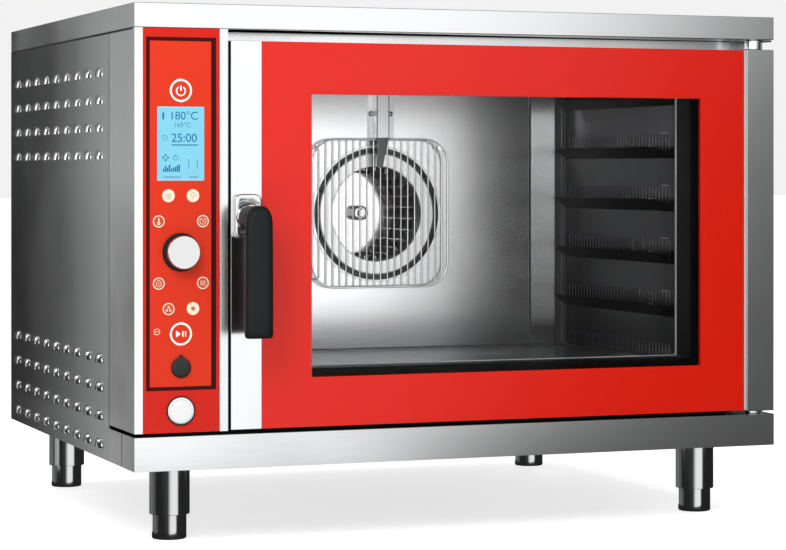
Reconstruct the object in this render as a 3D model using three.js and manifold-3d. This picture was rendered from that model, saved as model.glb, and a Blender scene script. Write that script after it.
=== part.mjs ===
// A counter-top gas convection oven for five trays: a stainless body on four legs, a wide glass
// door hung on two pins at the right, and a control column at the left of the door.
//
// Millimetres. While the pieces are drawn, X runs from the body's left side to its right, Y from
// the plane of the door's front to the back and Z up from the underside of the base. The last
// lines move the whole oven so that the middle of its foot print lies on the origin.
//
// Each piece is a closed solid of its own. Pieces that rest on each other keep one seam apart.
import * as THREE from 'three';
import { ConvexGeometry } from 'three/addons/geometries/ConvexGeometry.js';
import { mergeVertices } from 'three/addons/utils/BufferGeometryUtils.js';
import Module from 'manifold-3d';

const wasm = await Module();
wasm.setup();

// Driving sizes

const body = { width: 930, depth: 751, height: 604 };
const sheet = 2;
const seam = 0.3;
const turnGap = 0.6;
const reveal = 64;
const cornerDepth = 131.3;
const capHeight = 32;
const baseHeight = 44;
const railHeight = 28;
const capBottom = body.height - capHeight;

// Distances that stay the same when the body's right side, back or top moves
const fromRight = {
  chamber: 80,
  hinge: 19,
  hingeColumn: 43,
  doorFrame: 43.3,
  glass: 47.8,
  window: 116.5,
  innerFrame: 130,
  gas: 190,
};
const fromBack = { chamber: 161, lastLouvre: 51.4, electrics: 131 };
const fromTop = { hingeColumn: 46, door: 47, water: 64, upperLouvre: 84, chamber: 86, electrics: 104 };

const leg = {
  height: 101,
  sideInset: 74,
  frontInset: 100,
  backInset: 60,
  sleeveRadius: 27.3,
  sleeveBore: 23.6,
  sleeveRoof: 12,
  footRadius: 23,
  footWall: 3,
  footHeight: 33,
  footChamfer: 2,
  inSleeveShare: 0.6176,
};
leg.footInSleeve = (leg.height - leg.footHeight) * leg.inSleeveShare;

const louvre = {
  width: 38,
  height: 11,
  lipShare: 0.72,
  rise: 4,
  wall: 1.2,
  columns: 9,
  rows: 4,
  firstColumn: 186,
  upperRow: body.height - fromTop.upperLouvre,
  upperPitch: 37.2,
  lowerRow: 134,
  lowerPitch: 38.2,
};
const louvreRun = body.depth - fromBack.lastLouvre - louvre.firstColumn;
louvre.columnPitch = louvreRun / (louvre.columns - 1);

const chamber = {
  left: 138,
  right: body.width - fromRight.chamber,
  floor: 116,
  ceiling: body.height - fromTop.chamber,
  back: body.depth - fromBack.chamber,
  wall: 1.5,
  mouthMargin: 4,
  mouthLip: 2,
  mouthRadius: 4,
  flange: 12,
};

const tray = {
  levels: 5,
  wallInset: 42,
  topGap: 22.1,
  sheet: 1.2,
  ledge: 20,
  ledgeRise: 16,
  ledgeSheet: 1.5,
  lowestEdge: 194.3,
  front: 68.6,
  returnWidth: 34,
  slotWidth: 9,
  slotPitch: 27,
  slotInset: 22,
  slotHeight: 30,
  slotAboveRoot: 3,
  floorSlotHeight: 22,
};
tray.leftWall = chamber.left + tray.wallInset;
tray.rightWall = chamber.right - tray.wallInset;
tray.pitch = (chamber.ceiling - tray.topGap - tray.lowestEdge) / (tray.levels - 1);

const insulation = 25;
const beforeChamberBack = { baffle: 148, wheel: 120, frontRing: 104, hub: 84, backRing: 48, wheelBack: 29 };
const behindChamber = { motorPlate: 28, shaftEnd: 50, motor: 128 };
const baffleFront = chamber.back - beforeChamberBack.baffle;

const fan = {
  rise: 5,
  wheelShare: 0.5224,
  rimInset: 4.6,
  wheelSheet: 1.5,
  wheelFront: chamber.back - beforeChamberBack.wheel,
  wheelBack: chamber.back - beforeChamberBack.wheelBack,
  shroudWidth: 22,
  blades: 24,
  bladeLength: 24,
  hubRadius: 14,
  hubFront: chamber.back - beforeChamberBack.hub,
  nutRadius: 8,
  nutHeight: 8,
  shaftRadius: 7,
  shaftBore: 7.5,
  shaftEnd: chamber.back + behindChamber.shaftEnd,
};
fan.x = middle([chamber.left, chamber.right]);
fan.z = middle([chamber.floor, chamber.ceiling]) + fan.rise;
fan.wheelRadius = ((chamber.ceiling - chamber.floor) / 2) * fan.wheelShare;
fan.rimRadius = fan.wheelRadius - fan.rimInset;

const ring = {
  sheet: 1.2,
  flange: 4,
  grooveInset: 6,
  grooveDepth: 8,
  throatInset: 33.5,
  bell: 20,
  bellSteps: 3,
  throatDepth: 22,
};
ring.grooveOuter = fan.wheelRadius - ring.grooveInset;
ring.throat = fan.wheelRadius - ring.throatInset;

const motor = {
  bossRadius: 26,
  plateRadius: 66,
  plateSheet: 4,
  plateFront: chamber.back + behindChamber.motorPlate,
  radius: 58,
  back: chamber.back + behindChamber.motor,
  tailRadius: 34,
  tailLength: 12,
};

const grille = {
  shift: 1,
  sideMargin: 4,
  endMargin: 6.5,
  cornerRadius: 38,
  beforeBaffle: 16,
  wire: 3,
  innerWire: 2.2,
  wires: 19,
  postRadius: 3,
  postInset: 14,
};
grille.x = fan.x + grille.shift;
grille.z = fan.z + grille.shift;
grille.width = (fan.wheelRadius + grille.sideMargin) * 2;
grille.height = (fan.wheelRadius + grille.endMargin) * 2;
grille.front = baffleFront - grille.beforeBaffle;

const duct = { shift: 3.3, width: 18.6, reach: 20, sheet: 1.2, flange: 6, overWheel: 9.3 };
duct.x = fan.x + duct.shift;
duct.front = baffleFront - duct.reach;
duct.bottom = fan.z + fan.wheelRadius + duct.overWheel;
const spout = { belowRim: 35, tipWidth: 8.6, thickness: 1.2, tabDepth: 14, tabMargin: 2.2 };
spout.bottom = fan.z + fan.wheelRadius - spout.belowRim;

const exchanger = { overWheel: 45, tube: 11, outletRadius: 20 };
exchanger.radius = fan.wheelRadius + exchanger.overWheel;
exchanger.frontRing = chamber.back - beforeChamberBack.frontRing;
exchanger.backRing = chamber.back - beforeChamberBack.backRing;
const flue = { radius: 26, bore: 21 };
const rearStub = 22;

const burner = { width: 100, depth: 90, height: 83, sheet: 2, neckWidth: 44, neckDepth: 48 };
const gas = { z: 52, stubRadius: 13, stubBore: 9, pipeRadius: 7, valveSize: 56 };
gas.x = body.width - fromRight.gas;
const water = { x: 80, stubRadius: 10, stubBore: 6, valveSize: 36, pipeRadius: 5, rise: 20 };
water.z = body.height - fromTop.water;
const gland = { x: 120, z: 62, nutRadius: 14, radius: 10, bore: 6, nutLength: 8 };

const column = { width: 125.3, bottom: 49, frontStile: 11.1, setback: 3.7 };
const fascia = { face: 0.4, thickness: 3 };
const columnHeight = capBottom - column.bottom;

// How far up the column each control sits, as a share of the column's height
const panelShares = {
  power: 0.8451,
  display: 0.714,
  displayHeight: 0.1822,
  knob: 0.4455,
  innerKeys: 0.1396,
  outerKeys: 0.0765,
  start: 0.2438,
  socket: 0.1606,
  badge: 0.0535,
  boardBottom: 0.1205,
  boardTop: 0.9388,
};
const onColumn = (share) => column.bottom + share * columnHeight;

const panelMiddle = 61.9;
const display = {
  width: 62.8,
  height: panelShares.displayHeight * columnHeight,
  z: onColumn(panelShares.display),
  face: 0.7,
  glass: 2.6,
  rim: 4,
  depth: 9,
};
const board = {
  front: 10,
  thickness: 1.6,
  margin: 9,
  bottom: onColumn(panelShares.boardBottom),
  top: onColumn(panelShares.boardTop),
  postRadius: 3,
};

const smallKey = {
  radius: 8.5,
  innerX: 16.4,
  innerZ: panelShares.innerKeys * columnHeight,
  outerX: 29.5,
  outerZ: panelShares.outerKeys * columnHeight,
};
const largeKey = {
  radius: 15.5,
  powerZ: onColumn(panelShares.power),
  startZ: onColumn(panelShares.start),
};
const keyCap = { face: 0.1, thickness: 2.5, gap: 0.4, stemRadius: 3, stemEnd: 8.9 };

const knob = {
  z: onColumn(panelShares.knob),
  radius: 22,
  skirtRadius: 25,
  skirt: 3,
  height: 17,
  edge: 3,
  shoulderShare: 0.3,
  shaftRadius: 3,
};
const socket = {
  z: onColumn(panelShares.socket),
  radius: 8,
  coverRadius: 13.2,
  coverThickness: 3,
  nubWidth: 7,
  nubHeight: 5,
};
const badge = { z: onColumn(panelShares.badge), radius: 19, height: 1.7, edge: 0.6 };

const door = {
  left: 129.3,
  bottom: 50,
  top: body.height - fromTop.door,
  depth: 52,
  stileWidth: 42,
  glassRight: body.width - fromRight.glass,
  glassFront: 0.4,
  glassThickness: 5,
  maskThickness: 0.6,
  windowLeft: 240.6,
  windowRight: body.width - fromRight.window,
  windowBottom: 115.5,
  windowDrop: 69,
  innerLeft: 200,
  innerRight: body.width - fromRight.innerFrame,
  innerBottom: 127,
  innerDrop: 57,
  innerGlassMargin: 9,
  innerGlassThickness: 4,
  frameRight: body.width - fromRight.doorFrame,
};
door.windowTop = door.top - door.windowDrop;
door.innerTop = door.top - door.innerDrop;

const hinge = {
  x: body.width - fromRight.hinge,
  y: 25,
  columnLeft: body.width - fromRight.hingeColumn,
  columnBottom: 48.7,
  columnTop: body.height - fromTop.hingeColumn,
  columnDepth: 58,
  pinRadius: 8.5,
  pinInColumn: 20,
  collarRadius: 13,
  collarGap: 1,
};

const gasket = { margin: 5, width: 12 };

const handle = {
  x: 150,
  doorShare: 0.5477,
  plateWidth: 36,
  plateHeight: 59,
  plateRadius: 11,
  plateDepth: 12,
  width: 37,
  aboveSpindle: 14.8,
  belowSpindle: 155.7,
  front: -66,
  gripThickness: 22,
  neckBelow: 16.7,
  bend: 24,
  innerBend: 10,
  footRadius: 7,
  spindleRadius: 6,
  spindleBore: 7,
  spindleEnd: 46,
  camRadius: 9,
  camReach: 16,
  camFront: 34,
};
handle.z = door.bottom + (door.top - door.bottom) * handle.doorShare;
handle.top = handle.z + handle.aboveSpindle;
handle.bottom = handle.z - handle.belowSpindle;
handle.neckBottom = handle.z - handle.neckBelow;

const striker = { width: 10, height: 8, front: 40, aboveHandle: 18, clearance: 5 };

const electrics = {
  plateX: 96,
  sheet: 1.5,
  front: 170,
  back: body.depth - fromBack.electrics,
  top: body.height - fromTop.electrics,
  boxDepth: 42,
};

const vent = { slots: 9, width: 84, height: 6, pitchShare: 0.0248, lowerZ: 60, belowFlue: 222 };
vent.x = fan.x;
vent.pitch = vent.pitchShare * body.height;
vent.upperZ = fan.z + exchanger.radius - vent.belowFlue;

// Heights and spans that follow from the driving sizes

const inner = [sheet + seam, body.width - sheet - seam];
const bodyTop = capBottom - seam;
const backFace = body.depth - sheet;
const stubEnd = body.depth + rearStub;
const fasciaSpan = [fascia.face, fascia.face + fascia.thickness];
const doorGlassLeft = door.left + door.stileWidth + seam;
const pipeY = (duct.front + baffleFront) / 2;
const maskFront = door.glassFront + door.glassThickness + seam;
const frameFront = maskFront + door.maskThickness + seam;
const mouth = {
  x: [tray.leftWall - chamber.mouthMargin, tray.rightWall + chamber.mouthMargin],
  z: [chamber.floor + chamber.mouthLip, chamber.ceiling - chamber.mouthLip],
};

// Drawing helpers

const fineSides = 32;
const roundSides = 20;
const smallSides = 12;
const rodSides = 8;
const hexSides = 6;
const arcSides = 6;
const pipeStations = 7;
const bendRadii = 3;

function middle([low, high]) {
  return (low + high) / 2;
}

function around(centre, width) {
  return [centre - width / 2, centre + width / 2];
}

function grown([low, high], by) {
  return [low - by, high + by];
}

function volumeOf(position, index) {
  const corners = [new THREE.Vector3(), new THREE.Vector3(), new THREE.Vector3()];
  let sum = 0;
  for (let start = 0; start < index.count; start += corners.length) {
    corners.forEach((corner, i) => corner.fromBufferAttribute(position, index.getX(start + i)));
    sum += corners[0].dot(corners[1].cross(corners[2]));
  }
  return sum;
}

// Turns a geometry into a solid that can be joined and cut.
function solidOf(geometry) {
  geometry.deleteAttribute('normal');
  geometry.deleteAttribute('uv');
  const merged = mergeVertices(geometry);
  const triVerts = Uint32Array.from(merged.index.array);
  if (volumeOf(merged.attributes.position, merged.index) < 0) {
    triVerts.reverse();
  }
  const vertProperties = merged.attributes.position.array;
  return new wasm.Manifold(new wasm.Mesh({ numProp: 3, vertProperties, triVerts }));
}

function joined(...solids) {
  return solids.flat().reduce((sum, next) => sum.add(next));
}

function cut(whole, ...tools) {
  return tools.flat().reduce((left, tool) => left.subtract(tool), whole);
}

function block(xSpan, ySpan, zSpan) {
  const spans = [xSpan, ySpan, zSpan];
  const geometry = new THREE.BoxGeometry(...spans.map(([low, high]) => high - low));
  geometry.translate(...spans.map(middle));
  return solidOf(geometry);
}

// An outline drawn in X and Z, drawn out along Y.
function prismAlongY(shape, [low, high], curveSegments = smallSides) {
  const geometry = new THREE.ExtrudeGeometry(shape, {
    depth: high - low,
    bevelEnabled: false,
    curveSegments,
  });
  geometry.rotateX(Math.PI / 2);
  geometry.translate(0, high, 0);
  return solidOf(geometry);
}

// An outline drawn in Y and Z, drawn out along X.
function prismAlongX(shape, [low, high], curveSegments = smallSides) {
  const geometry = new THREE.ExtrudeGeometry(shape, {
    depth: high - low,
    bevelEnabled: false,
    curveSegments,
  });
  const turn = new THREE.Matrix4().makeBasis(
    new THREE.Vector3(0, 1, 0),
    new THREE.Vector3(0, 0, 1),
    new THREE.Vector3(1, 0, 0),
  );
  geometry.applyMatrix4(turn);
  geometry.translate(low, 0, 0);
  return solidOf(geometry);
}

function rodAlongY([x, z], radius, [low, high], sides = roundSides) {
  const geometry = new THREE.CylinderGeometry(radius, radius, high - low, sides);
  geometry.translate(x, middle([low, high]), z);
  return solidOf(geometry);
}

function rodAlongZ([x, y], radius, [low, high], sides = roundSides) {
  const geometry = new THREE.CylinderGeometry(radius, radius, high - low, sides);
  geometry.rotateX(Math.PI / 2);
  geometry.translate(x, y, middle([low, high]));
  return solidOf(geometry);
}

// A closed profile of [radius, place along the axis] points, turned about Y or Z.
function turnedAlongY([x, z], profile, sides = roundSides) {
  const geometry = new THREE.LatheGeometry(
    profile.map(([radius, along]) => new THREE.Vector2(radius, along)),
    sides,
  );
  geometry.translate(x, 0, z);
  return solidOf(geometry);
}

function turnedAlongZ([x, y], profile, sides = roundSides) {
  const geometry = new THREE.LatheGeometry(
    profile.map(([radius, along]) => new THREE.Vector2(radius, along)),
    sides,
  );
  geometry.rotateX(Math.PI / 2);
  geometry.translate(x, y, 0);
  return solidOf(geometry);
}

function outline(points) {
  return new THREE.Shape(points.map(([x, y]) => new THREE.Vector2(x, y)));
}

function roundedOutline([left, right], [bottom, top], radius) {
  const shape = new THREE.Shape();
  const quarter = Math.PI / 2;
  shape.moveTo(left + radius, bottom);
  shape.lineTo(right - radius, bottom);
  shape.absarc(right - radius, bottom + radius, radius, -quarter, 0);
  shape.lineTo(right, top - radius);
  shape.absarc(right - radius, top - radius, radius, 0, quarter);
  shape.lineTo(left + radius, top);
  shape.absarc(left + radius, top - radius, radius, quarter, Math.PI);
  shape.lineTo(left, bottom + radius);
  shape.absarc(left + radius, bottom + radius, radius, Math.PI, Math.PI + quarter);
  return shape;
}

// Gives an open line of [radius, along] points a thickness, for bent sheet turned about an axis.
function thickened(line, thickness) {
  const points = line.map(([radius, along]) => new THREE.Vector2(radius, along));
  const shifts = points.map((point, i) => {
    const before = points[Math.max(i - 1, 0)];
    const after = points[Math.min(i + 1, points.length - 1)];
    const along = after.clone().sub(before).normalize();
    return new THREE.Vector2(-along.y, along.x).multiplyScalar(thickness / 2);
  });
  const outer = points.map((point, i) => point.clone().add(shifts[i]).toArray());
  const back = points.map((point, i) => point.clone().sub(shifts[i]).toArray()).reverse();
  return [...outer, ...back, outer[0]];
}

// A ring-shaped plate that faces the front, between two rectangles in X and Z.
function ringPlate(outer, hole, ySpan) {
  return cut(block(outer.x, ySpan, outer.z), block(hole.x, grown(ySpan, sheet), hole.z));
}

function tubeAlong(points, radius) {
  const path = new THREE.CurvePath();
  const stops = points.map((point) => new THREE.Vector3(...point));
  const bend = radius * bendRadii;
  let from = stops[0];
  stops.slice(1, -1).forEach((corner, i) => {
    const before = corner.clone().lerp(stops[i], bend / corner.distanceTo(stops[i]));
    const after = corner.clone().lerp(stops[i + 2], bend / corner.distanceTo(stops[i + 2]));
    path.add(new THREE.LineCurve3(from, before));
    path.add(new THREE.QuadraticBezierCurve3(before, corner, after));
    from = after;
  });
  path.add(new THREE.LineCurve3(from, stops[stops.length - 1]));
  const circle = new THREE.Shape();
  circle.absarc(0, 0, radius, 0, Math.PI * 2);
  const stations = points.length * pipeStations;
  return solidOf(
    new THREE.ExtrudeGeometry(circle, { extrudePath: path, steps: stations, curveSegments: 3 }),
  );
}

// Finishes, as colour, roughness and metalness

const finishes = {
  steel: { color: 0xc6c8c9, roughness: 0.32, metalness: 0.95 },
  darkSteel: { color: 0x8f9394, roughness: 0.38, metalness: 0.9 },
  polished: { color: 0xd9dbdc, roughness: 0.15, metalness: 1 },
  galvanised: { color: 0x9da3a6, roughness: 0.5, metalness: 0.8 },
  redPanel: { color: 0xee3a24, roughness: 0.22, metalness: 0 },
  cream: { color: 0xfbe7cc, roughness: 0.4, metalness: 0 },
  display: { color: 0x8fd8f2, roughness: 0.25, metalness: 0 },
  black: { color: 0x1d1d1f, roughness: 0.45, metalness: 0 },
  darkFrame: { color: 0x333336, roughness: 0.4, metalness: 0.1 },
  rubber: { color: 0x26262a, roughness: 0.8, metalness: 0 },
  board: { color: 0x1f6b43, roughness: 0.5, metalness: 0 },
  wool: { color: 0xcfc39a, roughness: 0.95, metalness: 0 },
  motor: { color: 0x4a4f55, roughness: 0.5, metalness: 0.5 },
  brass: { color: 0xc09a4f, roughness: 0.35, metalness: 0.9 },
  copper: { color: 0xb87345, roughness: 0.35, metalness: 0.9 },
  glass: { color: 0xdfe6e8, roughness: 0.03, metalness: 0, transparent: true, opacity: 0.3 },
};

const oven = new THREE.Group();
oven.name = 'gas_convection_oven';

function place(name, solid, finish) {
  const { vertProperties, triVerts } = solid.getMesh();
  const geometry = new THREE.BufferGeometry();
  geometry.setAttribute('position', new THREE.BufferAttribute(vertProperties, 3));
  geometry.setIndex(new THREE.BufferAttribute(triVerts, 1));
  geometry.computeVertexNormals();
  const mesh = new THREE.Mesh(geometry, new THREE.MeshStandardMaterial(finishes[finish]));
  mesh.name = name;
  oven.add(mesh);
}

// Casing

// The base is a tray whose front folds up and back into the bar under the door.
function baseTray() {
  const whole = [0, body.width];
  const corner = [0, cornerDepth - seam];
  const under = [0, sheet];
  const rail = [0, railHeight];
  const skirt = [0, baseHeight];
  return joined(
    block(whole, corner, under),
    block(inner, [0, backFace - seam], under),
    block(whole, [0, sheet], skirt),
    block(whole, [0, reveal], [baseHeight - sheet, baseHeight]),
    block(whole, [reveal - sheet, reveal], [railHeight, baseHeight]),
    block([0, sheet], corner, skirt),
    block([body.width - sheet, body.width], corner, skirt),
    block([inner[0], inner[0] + sheet], [cornerDepth, backFace - seam], rail),
    block([inner[1] - sheet, inner[1]], [cornerDepth, backFace - seam], rail),
    block(inner, [backFace - seam - sheet, backFace - seam], rail),
  );
}

function topCap() {
  const skirt = [capBottom, body.height];
  const shell = cut(
    block([0, body.width], [0, body.depth], skirt),
    block(
      [sheet, body.width - sheet],
      [sheet, body.depth - sheet],
      [capBottom - sheet, body.height - sheet],
    ),
  );
  const lip = block([0, body.width], [0, reveal], [capBottom, capBottom + sheet]);
  return joined(shell, lip);
}

// One pressed louvre as a wedge: it leans out of the sheet and is open at its lower edge. The
// hollow of a louvre is the same wedge, one wall further in and lower.
function louvreWedge(face, outward, [y, z], root, tip, drop) {
  const halfWidth = louvre.width / 2;
  const lip = halfWidth * louvre.lipShare;
  const low = z - louvre.height / 2 - drop;
  const high = z + louvre.height / 2 - drop;
  const rootX = face - outward * root;
  const tipX = face + outward * tip;
  return solidOf(new ConvexGeometry([
    new THREE.Vector3(rootX, y - halfWidth, low),
    new THREE.Vector3(rootX, y + halfWidth, low),
    new THREE.Vector3(rootX, y - halfWidth, high),
    new THREE.Vector3(rootX, y + halfWidth, high),
    new THREE.Vector3(tipX, y - lip, low),
    new THREE.Vector3(tipX, y + lip, low),
  ]));
}

const upperLouvres = [louvre.upperRow, louvre.upperPitch];
const lowerLouvres = [louvre.lowerRow, louvre.lowerPitch];

function louvrePlaces(groups) {
  const places = [];
  for (const [firstRow, pitch] of groups) {
    for (let row = 0; row < louvre.rows; row += 1) {
      for (let col = 0; col < louvre.columns; col += 1) {
        places.push([louvre.firstColumn + col * louvre.columnPitch, firstRow - row * pitch]);
      }
    }
  }
  return places;
}

function sidePanel(face, outward, groups) {
  const skin = [face, face - outward * sheet].sort((a, b) => a - b);
  const panel = block(skin, [cornerDepth, body.depth], [0, bodyTop]);
  const places = louvrePlaces(groups);
  const hoods = places.map((place) => (
    louvreWedge(face, outward, place, sheet / 2, louvre.rise, 0)
  ));
  const hollows = places.map((place) => (
    louvreWedge(face, outward, place, sheet * 2, louvre.rise - louvre.wall, louvre.wall)
  ));
  return cut(joined(panel, hoods), hollows);
}

function rearPanel() {
  const skin = [backFace, body.depth];
  const through = grown(skin, sheet);
  const slots = [];
  for (const bottom of [vent.lowerZ, vent.upperZ]) {
    for (let row = 0; row < vent.slots; row += 1) {
      const low = bottom + row * vent.pitch;
      slots.push(block(around(vent.x, vent.width), through, [low, low + vent.height]));
    }
  }
  return cut(
    block(inner, skin, [sheet + seam, bodyTop]),
    slots,
    rodAlongY([fan.x, fan.z + exchanger.radius], flue.radius + seam, through),
    rodAlongY([gas.x, gas.z], gas.stubRadius + seam, through),
    rodAlongY([water.x, water.z], water.stubRadius + seam, through, smallSides),
    rodAlongY([gland.x, gland.z], gland.radius + seam, through, smallSides),
  );
}

// The body's own face, set back behind the door, with the corner that closes the right side.
function frontFrame() {
  const skin = [reveal, reveal + sheet];
  const low = baseHeight + seam;
  const hole = block(grown(mouth.x, seam), grown(skin, sheet), grown(mouth.z, seam));
  const strikerZ = around(handle.z + striker.aboveHandle + striker.height / 2, striker.height);
  return joined(
    cut(block([column.width + seam, body.width], skin, [low, bodyTop]), hole),
    block([body.width - sheet, body.width], [reveal, cornerDepth - seam], [low, bodyTop]),
    block(around(handle.x, striker.width), [striker.front, reveal + sheet / 2], strikerZ),
  );
}

// Baking chamber

function chamberLiner() {
  const { left, right, floor, ceiling, back, wall, flange } = chamber;
  const front = reveal + sheet + seam;
  const hole = prismAlongY(
    roundedOutline(mouth.x, mouth.z, chamber.mouthRadius),
    grown([front, front + sheet], sheet),
    arcSides,
  );
  const faceRing = cut(
    block(grown([left, right], flange), [front, front + sheet], grown([floor, ceiling], flange)),
    hole,
  );
  const tub = cut(
    block(grown([left, right], wall), [front, back + wall], grown([floor, ceiling], wall)),
    block([left, right], [front - sheet, back], [floor, ceiling]),
  );
  const shaftHole = rodAlongY([fan.x, fan.z], fan.shaftRadius + sheet, grown([back, back], sheet));
  const outletHole = rodAlongY(
    [fan.x, fan.z + exchanger.radius],
    exchanger.outletRadius + seam,
    grown([back, back], sheet),
  );
  const neckHole = neckBlock(seam, [floor - sheet, floor + sheet]);
  const pipeHole = rodAlongZ(
    [duct.x, pipeY],
    water.pipeRadius + seam,
    grown([ceiling, ceiling], sheet),
    smallSides,
  );
  return cut(joined(faceRing, tub), shaftHole, outletHole, neckHole, pipeHole);
}

function neckBlock(growth, zSpan) {
  return block(
    around(fan.x, burner.neckWidth + growth * 2),
    around(middle([exchanger.frontRing, exchanger.backRing]), burner.neckDepth + growth * 2),
    zSpan,
  );
}

function chamberInsulation() {
  const { left, right, floor, ceiling, back, wall, flange } = chamber;
  const front = reveal + sheet * 2 + seam * 2;
  const linerX = grown([left, right], wall + seam);
  const linerZ = grown([floor, ceiling], wall + seam);
  const linerBack = back + wall + seam;
  const behind = [linerBack - sheet, linerBack + insulation + sheet];
  return cut(
    block(grown(linerX, insulation), [front, linerBack + insulation], grown(linerZ, insulation)),
    block(linerX, [front - sheet, linerBack], linerZ),
    rodAlongY([fan.x, fan.z], motor.bossRadius + sheet, behind),
    rodAlongY([fan.x, fan.z + exchanger.radius], exchanger.outletRadius + sheet, behind),
    neckBlock(sheet, [floor - insulation - flange, floor]),
    rodAlongZ(
      [duct.x, pipeY],
      water.pipeRadius + seam,
      [ceiling, ceiling + insulation + flange],
      smallSides,
    ),
  );
}

// The upright wall in front of the fan, held off the back of the chamber by four posts.
function fanBaffle() {
  const wallSpan = [baffleFront, baffleFront + chamber.wall];
  const inset = grille.cornerRadius;
  const posts = [];
  for (const x of [tray.leftWall + inset, tray.rightWall - inset]) {
    for (const z of [chamber.floor + inset, chamber.ceiling - inset]) {
      posts.push(
        rodAlongY([x, z], grille.postRadius * 2, [baffleFront, chamber.back - seam], smallSides),
      );
    }
  }
  const plate = block(
    grown([tray.leftWall, tray.rightWall], tray.sheet),
    wallSpan,
    grown([chamber.floor, chamber.ceiling], -seam),
  );
  const hole = rodAlongY([fan.x, fan.z], fan.rimRadius, grown(wallSpan, sheet), fineSides);
  return cut(joined(plate, posts), hole);
}

// A spun ring: a flange on the baffle, a sunk groove, then the bell that leads air to the wheel.
function intakeRing() {
  const flangeY = baffleFront - seam - ring.sheet / 2;
  const bell = [];
  for (let step = 0; step <= ring.bellSteps; step += 1) {
    const angle = (step / ring.bellSteps) * (Math.PI / 2);
    bell.push([
      ring.throat + ring.bell * (1 - Math.sin(angle)),
      flangeY + ring.throatDepth * (1 - Math.cos(angle)),
    ]);
  }
  const line = [
    [fan.rimRadius + ring.flange, flangeY],
    [ring.grooveOuter, flangeY],
    [ring.grooveOuter, flangeY + ring.grooveDepth],
    [ring.throat + ring.bell, flangeY + ring.grooveDepth],
    ...bell,
  ];
  return turnedAlongY([fan.x, fan.z], thickened(line, ring.sheet), fineSides);
}

function fanGrille() {
  const xSpan = around(grille.x, grille.width);
  const zSpan = around(grille.z, grille.height);
  const depth = [grille.front, grille.front + grille.wire];
  const border = cut(
    prismAlongY(roundedOutline(xSpan, zSpan, grille.cornerRadius), depth, arcSides),
    prismAlongY(
      roundedOutline(
        grown(xSpan, -grille.wire),
        grown(zSpan, -grille.wire),
        grille.cornerRadius - grille.wire,
      ),
      grown(depth, sheet),
      arcSides,
    ),
  );
  const wires = [];
  const pitch = grille.width / (grille.wires + 1);
  const wireDepth = around(middle(depth), grille.innerWire);
  for (let i = 1; i <= grille.wires; i += 1) {
    const x = xSpan[0] + pitch * i;
    const toSide = Math.min(x - xSpan[0], xSpan[1] - x);
    const intoCorner = Math.max(grille.cornerRadius - toSide, 0);
    const drop = grille.cornerRadius - Math.sqrt(grille.cornerRadius ** 2 - intoCorner ** 2);
    wires.push(
      block(around(x, grille.innerWire), wireDepth, grown(zSpan, -drop - grille.wire / 2)),
    );
  }
  const posts = [];
  for (const x of grown(xSpan, -grille.postInset)) {
    for (const z of grown(zSpan, -grille.postInset)) {
      const side = [depth[0], baffleFront - seam];
      posts.push(rodAlongY([x, z], grille.postRadius, side, rodSides));
    }
  }
  return joined(border, wires, posts);
}

function fanWheel() {
  const centre = [fan.x, fan.z];
  const sheetSpan = [fan.wheelBack, fan.wheelBack + fan.wheelSheet];
  const dish = rodAlongY(centre, fan.wheelRadius, sheetSpan, fineSides);
  const shroudSpan = [fan.wheelFront, fan.wheelFront + fan.wheelSheet];
  const shroud = cut(
    rodAlongY(centre, fan.wheelRadius, shroudSpan, fineSides),
    rodAlongY(centre, fan.wheelRadius - fan.shroudWidth, grown(shroudSpan, sheet), roundSides),
  );
  const hub = rodAlongY(centre, fan.hubRadius, [fan.hubFront, fan.wheelBack], roundSides);
  const nut = rodAlongY(centre, fan.nutRadius, [fan.hubFront - fan.nutHeight, fan.hubFront], hexSides);
  const shaft = rodAlongY(centre, fan.shaftRadius, [fan.wheelBack, fan.shaftEnd]);
  const blades = [];
  for (let i = 0; i < fan.blades; i += 1) {
    const geometry = new THREE.BoxGeometry(
      fan.bladeLength,
      fan.wheelBack - fan.wheelFront,
      fan.wheelSheet,
    );
    const reach = fan.wheelRadius - fan.wheelSheet - fan.bladeLength / 2;
    geometry.translate(reach, middle([fan.wheelFront, fan.wheelBack]), 0);
    geometry.rotateY((i / fan.blades) * Math.PI * 2);
    geometry.translate(fan.x, fan.wheelSheet / 2, fan.z);
    blades.push(solidOf(geometry));
  }
  return joined(dish, shroud, hub, nut, shaft, blades);
}

function fanMotor() {
  const centre = [fan.x, fan.z];
  const front = chamber.back + chamber.wall + seam;
  const bore = rodAlongY(centre, fan.shaftBore, [front - sheet, fan.shaftEnd + sheet]);
  return cut(
    joined(
      rodAlongY(centre, motor.bossRadius, [front, motor.plateFront]),
      rodAlongY(centre, motor.plateRadius, [motor.plateFront, motor.plateFront + motor.plateSheet]),
      rodAlongY(centre, motor.radius, [motor.plateFront, motor.back]),
      rodAlongY(centre, motor.tailRadius, [motor.back, motor.back + motor.tailLength]),
    ),
    bore,
  );
}

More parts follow.
